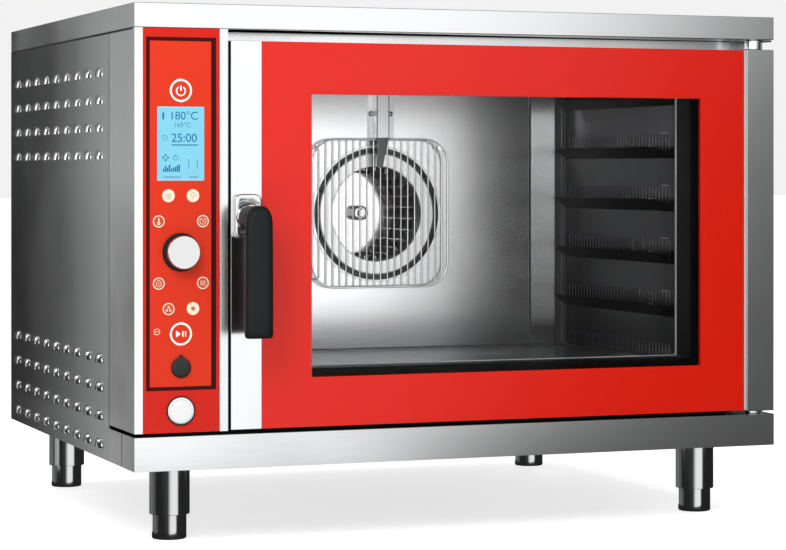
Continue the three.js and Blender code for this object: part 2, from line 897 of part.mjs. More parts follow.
// Two firing tubes around the wheel, a header that feeds them and the outlet to the flue.
function heatExchanger() {
  const rings = [exchanger.frontRing, exchanger.backRing].map((y) => {
    const geometry = new THREE.TorusGeometry(exchanger.radius, exchanger.tube, 6, roundSides);
    geometry.rotateX(Math.PI / 2);
    geometry.translate(fan.x, y, fan.z);
    return solidOf(geometry);
  });
  const ringSpan = grown([exchanger.frontRing, exchanger.backRing], exchanger.tube / 2);
  const low = fan.z - exchanger.radius;
  const header = block(
    around(fan.x, burner.neckWidth * 2),
    ringSpan,
    around(low, exchanger.tube * 3),
  );
  const neck = neckBlock(0, [burner.height + sheet + seam * 2, low]);
  const high = fan.z + exchanger.radius;
  const bridge = block(around(fan.x, burner.neckWidth), ringSpan, around(high, exchanger.tube * 2));
  const outlet = rodAlongY(
    [fan.x, high],
    exchanger.outletRadius,
    [exchanger.backRing, chamber.back + insulation * 2],
  );
  return joined(rings, header, neck, bridge, outlet);
}

// The pipe that carries the burnt gas from the heat exchanger out through the rear panel.
function flueOutlet() {
  const centre = [fan.x, fan.z + exchanger.radius];
  const start = chamber.back + chamber.wall + insulation + seam * 2;
  return cut(
    rodAlongY(centre, flue.radius, [start, stubEnd]),
    rodAlongY(centre, flue.bore, [start - sheet, stubEnd + sheet]),
  );
}

// Gas, water and power

function gasBurner() {
  const x = around(fan.x, burner.width);
  const middleY = middle([exchanger.frontRing, exchanger.backRing]);
  const y = around(middleY, burner.depth);
  const low = sheet + seam;
  const z = [low, low + burner.height];
  const box = cut(
    block(x, y, z),
    block(grown(x, -burner.sheet), grown(y, -burner.sheet), [low - sheet, z[1] - burner.sheet]),
    neckBlock(-burner.sheet, [z[1] - burner.sheet * 2, z[1] + sheet]),
  );
  const valveY = [backFace - gas.valveSize * 2, backFace - gas.valveSize];
  const valve = block(around(gas.x, gas.valveSize), valveY, [low, gas.z + gas.valveSize / 2]);
  const stub = rodAlongY([gas.x, gas.z], gas.stubRadius, [valveY[1], stubEnd]);
  const mouthHole = rodAlongY([gas.x, gas.z], gas.stubBore, [backFace, stubEnd + sheet]);
  const pipe = tubeAlong(
    [
      [x[1] - burner.sheet, middleY, gas.z],
      [gas.x, middleY, gas.z],
      [gas.x, valveY[0] + sheet, gas.z],
    ],
    gas.pipeRadius,
  );
  return cut(joined(box, valve, stub, pipe), mouthHole);
}

function waterPipe() {
  const y = [backFace - seam - water.valveSize, backFace - seam];
  const valve = block(around(water.x, water.valveSize), y, around(water.z, water.valveSize));
  const stub = rodAlongY([water.x, water.z], water.stubRadius, [y[1], stubEnd], smallSides);
  const stubHole = rodAlongY([water.x, water.z], water.stubBore, [y[1], stubEnd + sheet], smallSides);
  const runZ = water.z + water.rise * 2;
  const pipe = tubeAlong(
    [
      [water.x, middle(y), water.z + water.rise / 2],
      [water.x, middle(y), runZ],
      [water.x, pipeY, runZ],
      [duct.x, pipeY, runZ],
      [duct.x, pipeY, chamber.ceiling - sheet * 2],
    ],
    water.pipeRadius,
  );
  return cut(joined(valve, stub, pipe), stubHole);
}

function cableGland() {
  const centre = [gland.x, gland.z];
  return cut(
    joined(
      rodAlongY(centre, gland.radius, [backFace - gland.nutLength, stubEnd], smallSides),
      rodAlongY(centre, gland.nutRadius, [body.depth + seam, body.depth + gland.nutLength], hexSides),
    ),
    rodAlongY(centre, gland.bore, [backFace - gland.nutLength * 2, stubEnd + sheet], smallSides),
  );
}

// The upright plate in the left compartment, with the contactor, controller and terminals on it.
function electricsPlate() {
  const { plateX, front, back, top, boxDepth } = electrics;
  const length = back - front;
  const deviceShares = [[0.08, 0.34, 0.12, 0.4], [0.45, 0.9, 0.15, 0.45], [0.2, 0.8, 0.6, 0.8]];
  const devices = deviceShares.map(([y0, y1, z0, z1]) => block(
    [plateX - boxDepth, plateX],
    [front + length * y0, front + length * y1],
    [top * z0, top * z1],
  ));
  const low = sheet + seam;
  return joined(block([plateX, plateX + electrics.sheet], [front, back], [low, top]), devices);
}

// Steam duct, tray racks

function steamDuct() {
  const x = around(duct.x, duct.width);
  const wallY = [duct.front, baffleFront - seam];
  const z = [duct.bottom, chamber.ceiling - seam];
  const back = [baffleFront - seam - duct.sheet, baffleFront - seam];
  return joined(
    block(x, [duct.front, duct.front + duct.sheet], z),
    block([x[0], x[0] + duct.sheet], wallY, z),
    block([x[1] - duct.sheet, x[1]], wallY, z),
    block([x[0] - duct.flange, x[0] + duct.sheet], back, z),
    block([x[1] - duct.sheet, x[1] + duct.flange], back, z),
  );
}

function steamSpout() {
  const x = around(duct.x, duct.width);
  const low = duct.front + duct.sheet + seam;
  const top = duct.bottom - seam;
  const blade = outline([
    [x[0], top],
    [x[0], spout.bottom],
    [x[0] + spout.tipWidth, spout.bottom],
    [x[1], top],
  ]);
  return joined(
    prismAlongY(blade, [duct.front, low + spout.thickness]),
    block(
      grown(x, -spout.tabMargin),
      [low, low + spout.thickness],
      [top - sheet, top + spout.tabDepth],
    ),
  );
}

// A slotted side sheet with one sloping ledge for each tray level.
function trayRack(wall, inward) {
  const outer = wall - inward * tray.sheet;
  const skin = [wall, outer].sort((a, b) => a - b);
  const ySpan = [tray.front, baffleFront - seam];
  const zSpan = grown([chamber.floor, chamber.ceiling], -seam - chamber.mouthLip);
  const returnX = [wall, wall - inward * tray.returnWidth].sort((a, b) => a - b);
  const roots = [];
  for (let level = 0; level < tray.levels; level += 1) {
    roots.push(tray.lowestEdge - tray.ledgeRise + level * tray.pitch);
  }
  const ledges = roots.map((root) => prismAlongY(
    outline([
      [wall - inward * tray.sheet / 2, root],
      [wall + inward * tray.ledge, root + tray.ledgeRise],
      [wall + inward * tray.ledge, root + tray.ledgeRise + tray.ledgeSheet],
      [wall - inward * tray.sheet / 2, root + tray.ledgeSheet],
    ]),
    grown(ySpan, -tray.ledgeSheet),
  ));
  const bands = roots.map((root) => {
    const low = root + tray.ledgeSheet + tray.slotAboveRoot;
    return [low, low + tray.slotHeight];
  });
  bands.push([zSpan[0] + tray.slotAboveRoot, zSpan[0] + tray.floorSlotHeight]);
  const slots = [];
  const slotRun = grown(ySpan, -tray.slotInset);
  const slotCount = Math.floor((slotRun[1] - slotRun[0]) / tray.slotPitch);
  for (const band of bands) {
    for (let i = 0; i <= slotCount; i += 1) {
      const y = slotRun[0] + i * tray.slotPitch;
      slots.push(block(grown(skin, sheet), around(y, tray.slotWidth), band));
    }
  }
  return joined(
    cut(block(skin, ySpan, zSpan), slots),
    block(returnX, [ySpan[0], ySpan[0] + tray.sheet], zSpan),
    ledges,
  );
}

// Control column

const keyPlaces = [];
for (const [dx, dz] of [[smallKey.innerX, smallKey.innerZ], [smallKey.outerX, smallKey.outerZ]]) {
  for (const up of [1, -1]) {
    for (const right of [-1, 1]) {
      keyPlaces.push([panelMiddle + right * dx, knob.z + up * dz]);
    }
  }
}
const largePlaces = [[panelMiddle, largeKey.powerZ], [panelMiddle, largeKey.startZ]];
const displayX = around(panelMiddle, display.width);
const displayZ = around(display.z, display.height);

function controlHousing() {
  const { width, bottom, frontStile, setback } = column;
  const z = [bottom, bodyTop];
  const right = width - frontStile;
  const backing = [setback, setback + sheet];
  const through = grown(backing, sheet);
  const shell = joined(
    block([0, sheet], [0, cornerDepth - seam], z),
    block([0, frontStile], [0, sheet], z),
    block([frontStile - sheet, frontStile], [0, backing[1]], z),
    block([frontStile - sheet, right + sheet], backing, z),
    block([right, right + sheet], [0, backing[1]], z),
    block([right, width], [0, sheet], z),
    block([width - sheet, width], [0, reveal - seam], z),
    block([0, width], [backing[0], cornerDepth - seam], [bottom, bottom + sheet]),
    block([0, width], [backing[0], cornerDepth - seam], [bodyTop - sheet, bodyTop]),
  );
  const clusterX = grown([panelMiddle, panelMiddle], smallKey.outerX + smallKey.radius);
  const clusterZ = grown([knob.z, knob.z], smallKey.innerZ + smallKey.radius);
  const cluster = block(clusterX, through, clusterZ);
  const largeHoles = largePlaces.map(([x, keyZ]) => block(
    grown([x, x], keyCap.stemRadius * 2),
    through,
    grown([keyZ, keyZ], keyCap.stemRadius * 2),
  ));
  const displayHole = block(
    grown(displayX, seam - display.rim),
    through,
    grown(displayZ, seam - display.rim),
  );
  const socketHole = rodAlongY([panelMiddle, socket.z], socket.radius + seam, through, smallSides);
  return cut(shell, cluster, largeHoles, displayHole, socketHole);
}

function controlFascia() {
  const x = [column.frontStile + seam, column.width - column.frontStile - seam];
  const through = grown(fasciaSpan, sheet);
  const smallHoles = keyPlaces.map((centre) => (
    rodAlongY(centre, smallKey.radius + keyCap.gap, through, smallSides)
  ));
  const largeHoles = largePlaces.map((centre) => (
    rodAlongY(centre, largeKey.radius + keyCap.gap, through)
  ));
  return cut(
    block(x, fasciaSpan, [column.bottom, bodyTop]),
    smallHoles,
    largeHoles,
    block(grown(displayX, seam), through, grown(displayZ, seam)),
    rodAlongY([panelMiddle, knob.z], knob.shaftRadius + turnGap, through, smallSides),
    rodAlongY([panelMiddle, socket.z], socket.radius + seam, through, smallSides),
  );
}

function displayModule() {
  return joined(
    block(displayX, [display.face, display.face + display.glass], displayZ),
    block(
      grown(displayX, -display.rim),
      [display.face, display.depth],
      grown(displayZ, -display.rim),
    ),
  );
}

function controlBoard() {
  const x = grown([column.frontStile, column.width - column.frontStile], -board.margin);
  const ySpan = [board.front, board.front + board.thickness];
  const postSpan = [column.setback + sheet + seam, board.front];
  const posts = [];
  for (const postX of grown(x, -board.postRadius)) {
    for (const postZ of grown([board.bottom, board.top], -board.postRadius)) {
      posts.push(rodAlongY([postX, postZ], board.postRadius, postSpan, rodSides));
    }
  }
  const socketTube = cut(
    rodAlongY(
      [panelMiddle, socket.z],
      socket.radius,
      [fasciaSpan[0] + seam, board.front + board.thickness / 2],
      smallSides,
    ),
    rodAlongY([panelMiddle, socket.z], socket.radius - sheet, [0, board.front], smallSides),
  );
  return joined(block(x, ySpan, [board.bottom, board.top]), posts, socketTube);
}

function pushKey([x, z], radius, sides) {
  const back = keyCap.face + keyCap.thickness;
  return joined(
    rodAlongY([x, z], radius, [keyCap.face, back], sides),
    rodAlongY([x, z], keyCap.stemRadius, [keyCap.face, keyCap.stemEnd], rodSides),
  );
}

function selectorKnob() {
  const back = fasciaSpan[0] - seam;
  const front = back - knob.height;
  const shoulder = knob.edge * knob.shoulderShare;
  const profile = [
    [0, front],
    [knob.radius - knob.edge, front],
    [knob.radius - shoulder, front + shoulder],
    [knob.radius, front + knob.edge],
    [knob.radius, back - knob.skirt],
    [knob.skirtRadius, back - knob.skirt],
    [knob.skirtRadius, back],
    [knob.shaftRadius, back],
    [knob.shaftRadius, keyCap.stemEnd],
    [0, keyCap.stemEnd],
  ];
  return turnedAlongY([panelMiddle, knob.z], profile);
}

function socketCover() {
  const back = fasciaSpan[0] - seam;
  const span = [back - socket.coverThickness, back];
  const top = socket.z + socket.coverRadius;
  return joined(
    rodAlongY([panelMiddle, socket.z], socket.coverRadius, span),
    block(
      around(panelMiddle, socket.nubWidth),
      span,
      [top - socket.nubHeight / 2, top + socket.nubHeight],
    ),
  );
}

function badgeDisc() {
  const back = fasciaSpan[0] - seam;
  const front = back - badge.height;
  return turnedAlongY([panelMiddle, badge.z], [
    [0, front],
    [badge.radius - badge.edge, front],
    [badge.radius, front + badge.edge],
    [badge.radius, back],
    [0, back],
  ]);
}

// Door

const doorZ = [door.bottom, door.top];

// The door's left edge: a folded channel that carries the handle and hides the catch.
function latchStile() {
  const x = [door.left, door.left + door.stileWidth];
  const shell = cut(
    block(x, [0, door.depth], doorZ),
    block([x[0] + sheet, x[1] + sheet], [sheet, door.depth - sheet], grown(doorZ, -sheet)),
  );
  const spindle = rodAlongY([handle.x, handle.z], handle.spindleBore, [-sheet, sheet * 2]);
  const strikerHole = block(
    around(handle.x, striker.width + striker.clearance * 2),
    [door.depth - sheet * 2, door.depth + sheet],
    around(
      handle.z + striker.aboveHandle + striker.height / 2,
      striker.height + striker.clearance * 2,
    ),
  );
  return cut(shell, spindle, strikerHole);
}

// The frame behind the glass: a ring folded as a channel, open to the front.
function doorFrame() {
  const outer = { x: [doorGlassLeft, door.frameRight], z: doorZ };
  const innerHole = {
    x: [door.innerLeft, door.innerRight],
    z: [door.innerBottom, door.innerTop],
  };
  const ySpan = [frameFront, door.depth];
  const flangeSpan = [door.depth - sheet, door.depth];
  const outerWall = ringPlate(
    outer,
    { x: grown(outer.x, -sheet), z: grown(outer.z, -sheet) },
    ySpan,
  );
  const innerWall = ringPlate(
    { x: grown(innerHole.x, sheet), z: grown(innerHole.z, sheet) },
    innerHole,
    ySpan,
  );
  return joined(outerWall, innerWall, ringPlate(outer, innerHole, flangeSpan));
}

function glassPane(x, ySpan, z) {
  return block(x, ySpan, z);
}

function borderMask() {
  return ringPlate(
    { x: [doorGlassLeft, door.glassRight], z: grown(doorZ, -seam) },
    { x: [door.windowLeft, door.windowRight], z: [door.windowBottom, door.windowTop] },
    [maskFront, maskFront + door.maskThickness],
  );
}

function hingeColumn() {
  const x = [hinge.columnLeft, body.width];
  const z = [hinge.columnBottom, hinge.columnTop];
  const shell = cut(
    block(x, [0, hinge.columnDepth], z),
    block([x[0] - sheet, x[1] - sheet], [sheet, hinge.columnDepth - sheet], grown(z, -sheet)),
  );
  const bore = rodAlongZ([hinge.x, hinge.y], hinge.pinRadius + turnGap, grown(z, sheet));
  return cut(shell, bore);
}

// A pin that is fixed in the cap or the base, with the collar that the column turns against.
function hingePin(seat, columnEnd, towardColumn) {
  const span = (a, b) => [a, b].sort((p, q) => p - q);
  const tip = columnEnd + towardColumn * hinge.pinInColumn;
  const start = seat + towardColumn * seam;
  return joined(
    rodAlongZ([hinge.x, hinge.y], hinge.pinRadius, span(start, tip)),
    rodAlongZ(
      [hinge.x, hinge.y],
      hinge.collarRadius,
      span(start, columnEnd - towardColumn * hinge.collarGap),
    ),
  );
}

function doorGasket() {
  const hole = { x: grown(mouth.x, gasket.margin), z: grown(mouth.z, gasket.margin) };
  const outer = { x: grown(hole.x, gasket.width), z: grown(hole.z, gasket.width) };
  return ringPlate(outer, hole, [door.depth + turnGap, reveal - seam]);
}

// Handle

function handlePlate() {
  const centre = [handle.x, handle.z];
  return cut(
    prismAlongY(
      roundedOutline(
        around(handle.x, handle.plateWidth),
        around(handle.z, handle.plateHeight),
        handle.plateRadius,
      ),
      [-handle.plateDepth, -seam],
      arcSides,
    ),
    rodAlongY(centre, handle.spindleBore, [-handle.plateDepth - sheet, 0]),
  );
}

// The lever seen from the side is a cane; seen from the front it is a tongue with a round top.
function handleLever() {
  const quarter = Math.PI / 2;
  const back = -handle.plateDepth - seam;
  const gripBack = handle.front + handle.gripThickness;
  const side = new THREE.Shape();
  side.moveTo(back, handle.top);
  side.lineTo(handle.front + handle.bend, handle.top);
  side.absarc(handle.front + handle.bend, handle.top - handle.bend, handle.bend, quarter, Math.PI);
  side.lineTo(handle.front, handle.bottom + handle.footRadius);
  side.absarc(
    handle.front + handle.footRadius,
    handle.bottom + handle.footRadius,
    handle.footRadius,
    Math.PI,
    Math.PI + quarter,
  );
  side.lineTo(gripBack - handle.footRadius, handle.bottom);
  side.absarc(
    gripBack - handle.footRadius,
    handle.bottom + handle.footRadius,
    handle.footRadius,
    -quarter,
    0,
  );
  side.lineTo(gripBack, handle.neckBottom - handle.innerBend);
  side.absarc(
    gripBack + handle.innerBend,
    handle.neckBottom - handle.innerBend,
    handle.innerBend,
    Math.PI,
    quarter,
    true,
  );
  side.lineTo(back, handle.neckBottom);
  const x = around(handle.x, handle.width);
  const half = handle.width / 2;
  const tongue = new THREE.Shape();
  tongue.moveTo(x[0] + handle.footRadius, handle.bottom);
  tongue.lineTo(x[1] - handle.footRadius, handle.bottom);
  tongue.absarc(
    x[1] - handle.footRadius,
    handle.bottom + handle.footRadius,
    handle.footRadius,
    -quarter,
    0,
  );
  tongue.lineTo(x[1], handle.top - half);
  tongue.absarc(handle.x, handle.top - half, half, 0, Math.PI);
  tongue.lineTo(x[0], handle.bottom + handle.footRadius);
  tongue.absarc(
    x[0] + handle.footRadius,
    handle.bottom + handle.footRadius,
    handle.footRadius,
    Math.PI,
    Math.PI + quarter,
  );
  const lever = prismAlongX(side, x, arcSides).intersect(
    prismAlongY(tongue, [handle.front, back], arcSides),
  );
  const bore = rodAlongY(
    [handle.x, handle.z],
    handle.spindleRadius + seam,
    [gripBack, back + sheet],
    hexSides,
  );
  return cut(lever, bore);
}

// A six-sided spindle from the lever through the stile, with the cam of the catch on its end.
function handleSpindle() {
  const centre = [handle.x, handle.z];
  const gripBack = handle.front + handle.gripThickness;
  const cam = [handle.camFront, handle.spindleEnd];
  return joined(
    rodAlongY(centre, handle.spindleRadius, [gripBack + seam, handle.spindleEnd], hexSides),
    rodAlongY(centre, handle.camRadius, cam, smallSides),
    block([handle.x - handle.camReach, handle.x], cam, around(handle.z, handle.camRadius)),
  );
}

// Legs

function legSleeve(centre) {
  const low = -leg.height + leg.footHeight;
  return turnedAlongZ(centre, [
    [0, -seam],
    [leg.sleeveRadius, -seam],
    [leg.sleeveRadius, low],
    [leg.sleeveBore, low],
    [leg.sleeveBore, -leg.sleeveRoof],
    [0, -leg.sleeveRoof],
  ]);
}

function legFoot(centre) {
  const low = -leg.height;
  const high = low + leg.footHeight + leg.footInSleeve;
  return turnedAlongZ(centre, [
    [0, low],
    [leg.footRadius - leg.footChamfer, low],
    [leg.footRadius, low + leg.footChamfer],
    [leg.footRadius, high],
    [leg.footRadius - leg.footWall, high],
    [leg.footRadius - leg.footWall, low + leg.footWall],
    [0, low + leg.footWall],
  ]);
}

// Assembly

place('base_tray', baseTray(), 'steel');
place('left_side_panel', sidePanel(0, -1, [upperLouvres, lowerLouvres]), 'steel');
place('right_side_panel', sidePanel(body.width, 1, [lowerLouvres]), 'steel');
place('rear_panel', rearPanel(), 'galvanised');
place('top_cap', topCap(), 'steel');
place('front_frame', frontFrame(), 'steel');

place('chamber_liner', chamberLiner(), 'polished');
place('chamber_insulation', chamberInsulation(), 'wool');
place('fan_baffle', fanBaffle(), 'polished');
place('intake_ring', intakeRing(), 'polished');
place('fan_grille', fanGrille(), 'polished');
place('fan_wheel', fanWheel(), 'darkSteel');
place('fan_motor', fanMotor(), 'motor');
place('heat_exchanger', heatExchanger(), 'darkSteel');
place('flue_outlet', flueOutlet(), 'galvanised');
place('gas_burner', gasBurner(), 'brass');
place('water_pipe', waterPipe(), 'copper');
place('cable_gland', cableGland(), 'black');
place('electrics_plate', electricsPlate(), 'galvanised');
place('steam_duct', steamDuct(), 'polished');
place('steam_spout', steamSpout(), 'darkSteel');
place('left_tray_rack', trayRack(tray.leftWall, 1), 'polished');
place('right_tray_rack', trayRack(tray.rightWall, -1), 'polished');
place('door_gasket', doorGasket(), 'rubber');

place('control_housing', controlHousing(), 'steel');
place('control_fascia', controlFascia(), 'redPanel');
place('display_module', displayModule(), 'display');
place('control_board', controlBoard(), 'board');
place('selector_knob', selectorKnob(), 'polished');
place('power_key', pushKey(largePlaces[0], largeKey.radius, roundSides), 'redPanel');
place('start_stop_key', pushKey(largePlaces[1], largeKey.radius, roundSides), 'redPanel');
keyPlaces.forEach((centre, i) => {
  place(`function_key_${i + 1}`, pushKey(centre, smallKey.radius, smallSides), 'cream');
});
place('probe_socket_cover', socketCover(), 'black');
place('badge_disc', badgeDisc(), 'polished');

place('door_latch_stile', latchStile(), 'steel');
place('door_frame', doorFrame(), 'darkFrame');
place(
  'door_outer_glass',
  glassPane(
    [doorGlassLeft, door.glassRight],
    [door.glassFront, door.glassFront + door.glassThickness],
    grown(doorZ, -seam),
  ),
  'glass',
);
place('door_border_mask', borderMask(), 'redPanel');
place(
  'door_inner_glass',
  glassPane(
    grown([door.innerLeft, door.innerRight], door.innerGlassMargin),
    [door.depth + seam, door.depth + seam + door.innerGlassThickness],
    grown([door.innerBottom, door.innerTop], door.innerGlassMargin),
  ),
  'glass',
);
place('door_hinge_column', hingeColumn(), 'steel');
place('hinge_pin_top', hingePin(capBottom, hinge.columnTop, -1), 'polished');
place('hinge_pin_bottom', hingePin(baseHeight, hinge.columnBottom, 1), 'polished');
place('handle_plate', handlePlate(), 'polished');
place('handle_lever', handleLever(), 'black');
place('handle_spindle', handleSpindle(), 'darkSteel');

const legPlaces = {
  front_left: [leg.sideInset, leg.frontInset],
  front_right: [body.width - leg.sideInset, leg.frontInset],
  rear_left: [leg.sideInset, body.depth - leg.backInset],
  rear_right: [body.width - leg.sideInset, body.depth - leg.backInset],
};
for (const [corner, centre] of Object.entries(legPlaces)) {
  place(`leg_sleeve_${corner}`, legSleeve(centre), 'polished');
  place(`leg_foot_${corner}`, legFoot(centre), 'darkSteel');
}

// The origin goes to the floor, under the middle of everything from the handle to the rear stubs.
oven.position.set(-body.width / 2, -middle([handle.front, stubEnd]), leg.height);

export default oven;
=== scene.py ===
# A counter-top gas convection oven: the looks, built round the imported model.
# Metres. The oven's own measures below are in millimetres from the left side of the body (X), the
# plane of the door's front (Y) and the underside of the base (Z), and at() turns them.
from math import atan2, copysign, cos, degrees, hypot, pi, radians, sin, sqrt

import bmesh
import bpy
from mathutils import Matrix, Vector


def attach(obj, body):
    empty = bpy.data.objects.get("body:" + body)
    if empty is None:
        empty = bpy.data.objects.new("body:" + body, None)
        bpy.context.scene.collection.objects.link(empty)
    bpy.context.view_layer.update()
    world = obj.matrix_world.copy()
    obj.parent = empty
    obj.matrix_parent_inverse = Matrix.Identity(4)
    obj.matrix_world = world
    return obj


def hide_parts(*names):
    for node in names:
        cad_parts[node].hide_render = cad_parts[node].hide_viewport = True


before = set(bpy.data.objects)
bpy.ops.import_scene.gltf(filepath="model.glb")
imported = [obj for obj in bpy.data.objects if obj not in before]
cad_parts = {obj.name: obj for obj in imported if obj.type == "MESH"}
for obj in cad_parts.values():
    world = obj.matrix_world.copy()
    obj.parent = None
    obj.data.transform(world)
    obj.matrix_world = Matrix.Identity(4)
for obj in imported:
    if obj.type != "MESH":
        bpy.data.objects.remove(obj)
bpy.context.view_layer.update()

BODY_MIDDLE = (465.0, 353.5, -101.0)
MM = 0.001
FACING = (radians(90), 0, 0)
SIDEWAYS = (0, radians(90), 0)


def at(x, y, z):
    """A point of the oven's own measures, in the frame's metres."""
    return Vector(((x - BODY_MIDDLE[0]) * MM, (y - BODY_MIDDLE[1]) * MM, (z - BODY_MIDDLE[2]) * MM))


def measures(point):
    """A point in the frame's metres, in the oven's own measures."""
    return [point[i] / MM + BODY_MIDDLE[i] for i in range(3)]


# Materials

def linear(hex_colour):
    channels = [int(hex_colour[i:i + 2], 16) / 255 for i in (1, 3, 5)]
    return [c / 12.92 if c <= 0.04045 else ((c + 0.055) / 1.055) ** 2.4 for c in channels] + [1.0]


def join(node, links):
    """Links a node's inputs, each from a socket or from another node's first output."""
    for name, source in links.items():
        socket = source.outputs[0] if isinstance(source, bpy.types.Node) else source
        node.id_data.links.new(socket, node.inputs[name])


def add_node(tree, kind, settings=None, links=None):
    """Adds a shader node with the given settings, by input or by property name, and its links."""
    node = tree.nodes.new("ShaderNode" + kind)
    for name, value in (settings or {}).items():
        if isinstance(name, int) or name in node.inputs:
            node.inputs[name].default_value = value
        else:
            setattr(node, name, value)
    join(node, links or {})
    return node


def new_material(name, settings):
    material = bpy.data.materials.new(name)
    material.use_nodes = True
    shader = material.node_tree.nodes["Principled BSDF"]
    for socket, value in settings.items():
        shader.inputs[socket].default_value = value
    return material, material.node_tree, shader


# Waves of a grain's noise per metre, along and across it
GRAIN_STRETCH = {"x": (14, 900, 900), "y": (900, 14, 900), "z": (900, 900, 14)}
STEEL_CLOUDS = 5.0
PLASTIC_CLOUDS = 9.0
PLASTIC_VARIES = 0.04


def steel(name, colour, roughness, along="z", grain=0.06, relief=0.02):
    """Metal with a rolled or brushed grain along one way, upright if none is said, in lines about 1 mm
    wide: coarser than the real 0.1 mm, so that they show. Slow clouds of gloss lie over it."""
    material, tree, shader = new_material(name, {"Base Color": linear(colour), "Metallic": 1.0})
    place = add_node(tree, "TexCoord").outputs["Object"]
    stretch = add_node(tree, "Mapping", {"Scale": GRAIN_STRETCH[along]}, {"Vector": place})
    lines = add_node(tree, "TexNoise", {"Scale": 1.0, "Detail": 3.0}, {"Vector": stretch})
    cloud = add_node(tree, "TexNoise", {"Scale": STEEL_CLOUDS, "Detail": 2.0}, {"Vector": place})
    both = add_node(tree, "Math", {"operation": "MULTIPLY_ADD", 1: 0.6}, {0: lines, 2: cloud})
    gloss = add_node(tree, "MapRange", {"From Min": 0.5, "From Max": 1.1, "To Min": roughness - grain,
                                        "To Max": roughness + grain}, {"Value": both})
    bump = add_node(tree, "Bump", {"Strength": relief, "Distance": 0.0004}, {"Height": lines})
    join(shader, {"Roughness": gloss, "Normal": bump})
    return material


def moulded(name, colour, roughness, speckle_mm=0.8, relief=0.03, gloss=0.5, glow=0.0):
    """A moulded or printed plastic: an even colour with a fine texture from the mould."""
    material, tree, shader = new_material(name, {
        "Base Color": linear(colour), "IOR": 1.5, "Specular IOR Level": gloss,
        "Emission Color": linear(colour), "Emission Strength": glow})
    place = add_node(tree, "TexCoord").outputs["Object"]
    fine = add_node(tree, "TexNoise", {"Scale": 1 / (speckle_mm * MM), "Detail": 2.0}, {"Vector": place})
    broad = add_node(tree, "TexNoise", {"Scale": PLASTIC_CLOUDS, "Detail": 2.0}, {"Vector": place})
    sheen = add_node(tree, "MapRange", {"To Min": roughness - PLASTIC_VARIES,
                                        "To Max": roughness + PLASTIC_VARIES}, {"Value": broad})
    bump = add_node(tree, "Bump", {"Strength": relief, "Distance": 0.0002}, {"Height": fine})
    join(shader, {"Roughness": sheen, "Normal": bump})
    return material


def clear_glass(name):
    """Tempered float glass: colourless, and bending little, so that what lies behind stays in place."""
    return new_material(name, {"Base Color": linear("#FFFFFF"), "IOR": 1.12, "Transmission Weight": 1.0,
                               "Roughness": 0.0})[0]


# Brushed stainless of the body: fine straight lines that draw each reflection out across them
STEEL_X = steel("stainless_brushed_along", "#E9EAEB", 0.2, "x")
STEEL_Y = steel("stainless_brushed_deep", "#D9DBDC", 0.16, "y", grain=0.03, relief=0.01)
STEEL_Z = steel("stainless_brushed_upright", "#E9EAEB", 0.2)
STILE_STEEL = steel("stainless_fine_brushed", "#E9EAEB", 0.12, grain=0.03)
LOUVRE_STEEL = steel("pressed_louvre_sheet", "#F2F2F2", 0.16, "y", grain=0.03)
# Bright rolled stainless of the chamber: soft, wide glows with hardly a line in them
POLISHED = steel("stainless_bright_rolled", "#E9EAEB", 0.25, grain=0.04, relief=0.003)
BAFFLE_STEEL = steel("fan_wall_sheet", "#E9EAEB", 0.24, grain=0.03, relief=0.0)
DUCT_STEEL = steel("folded_bright_sheet", "#E4E5E6", 0.32)
BEND_STEEL = steel("bent_baffle_edge", "#E4E5E6", 0.12, grain=0.02, relief=0.0)
RING_STEEL = steel("spun_stainless", "#F2F3F3", 0.34, grain=0.04)
# Stainless in greys with the same soft glow: heat-tinted sheet, a plain grey for the rack's folds, and darker
# copies painted as shade and dark reflection in grooves, on racks and ledges and beside each bend
TINTED = steel("stainless_heat_tinted", "#A9ADB0", 0.35, "y")
GREY_STEEL_AND_SHADE = steel("dark_grey_steel_and_painted_shade", "#4A4C4E", 0.45)
SPOUT_STEEL = steel("heat_tinted_spout", "#5A5C5E", 0.4)
# Painted dark reflection and shade: the rack sheets, bright steel in reality, drawn near black
RACK_SHADED_STEEL = steel("rack_sheet_painted_dark", "#27282B", 0.24, grain=0.02, relief=0.0)
FOLD_STEEL = steel("rack_end_fold", "#77797C", 0.3, grain=0.03, relief=0.0)
# Painted shade: a grey strip for the dark line beside each bent side of the fan wall
BEND_SHADE_STEEL = steel("painted_bend_shade_line", "#8E9092", 0.3, grain=0.03, relief=0.0)
# Painted shade: the ledges, steel in reality, as an almost black matt stuff
LEDGE_SHADE = moulded("rack_ledge_painted_shade", "#040405", 0.5, relief=0.0, gloss=0.0)
# Chrome plate, drawn wire and polished tube: narrow dark and bright bands with crisp edges
CHROME = steel("chrome_plate", "#EDEEEF", 0.08, grain=0.02, relief=0.0)
SATIN_CHROME = steel("satin_chrome_plate", "#EDEEEF", 0.24, grain=0.03, relief=0.0)
LEG_STEEL = steel("polished_leg_tube", "#D2D4D5", 0.1, grain=0.02, relief=0.0)
WIRE = steel("bright_drawn_wire", "#F2F3F3", 0.07, grain=0.02)
# Turned and pressed metal of what spins or is pressed: a broad sheen that shades each curve
KNOB_SHINE = steel("turned_bright_aluminium", "#DADADA", 0.16, grain=0.03)
BADGE_SHINE = steel("domed_bright_disc", "#E8E8E8", 0.22, grain=0.03)
HUB_STEEL = steel("turned_steel_hub", "#E4E5E5", 0.14, "y", grain=0.03, relief=0.0)
WHEEL_STEEL = steel("pressed_stainless_wheel", "#F2F2F2", 0.12, grain=0.02, relief=0.0)
# Painted shade and highlight: the blades in a darker copy of the wheel's steel, their edges in the bright ring
# steel
BLADE_SHADE_STEEL = steel("fan_blade_painted_shade", "#A4A6A8", 0.32, "y", grain=0.03, relief=0.0)
# Plain metals of the back: dull, each told apart by its colour
GALVANISED = steel("galvanised_sheet", "#A5A9AB", 0.42, "x")
BRASS = steel("plain_brass", "#C9A24A", 0.3, "y")
COPPER = steel("plain_copper", "#C27C52", 0.3, "y")
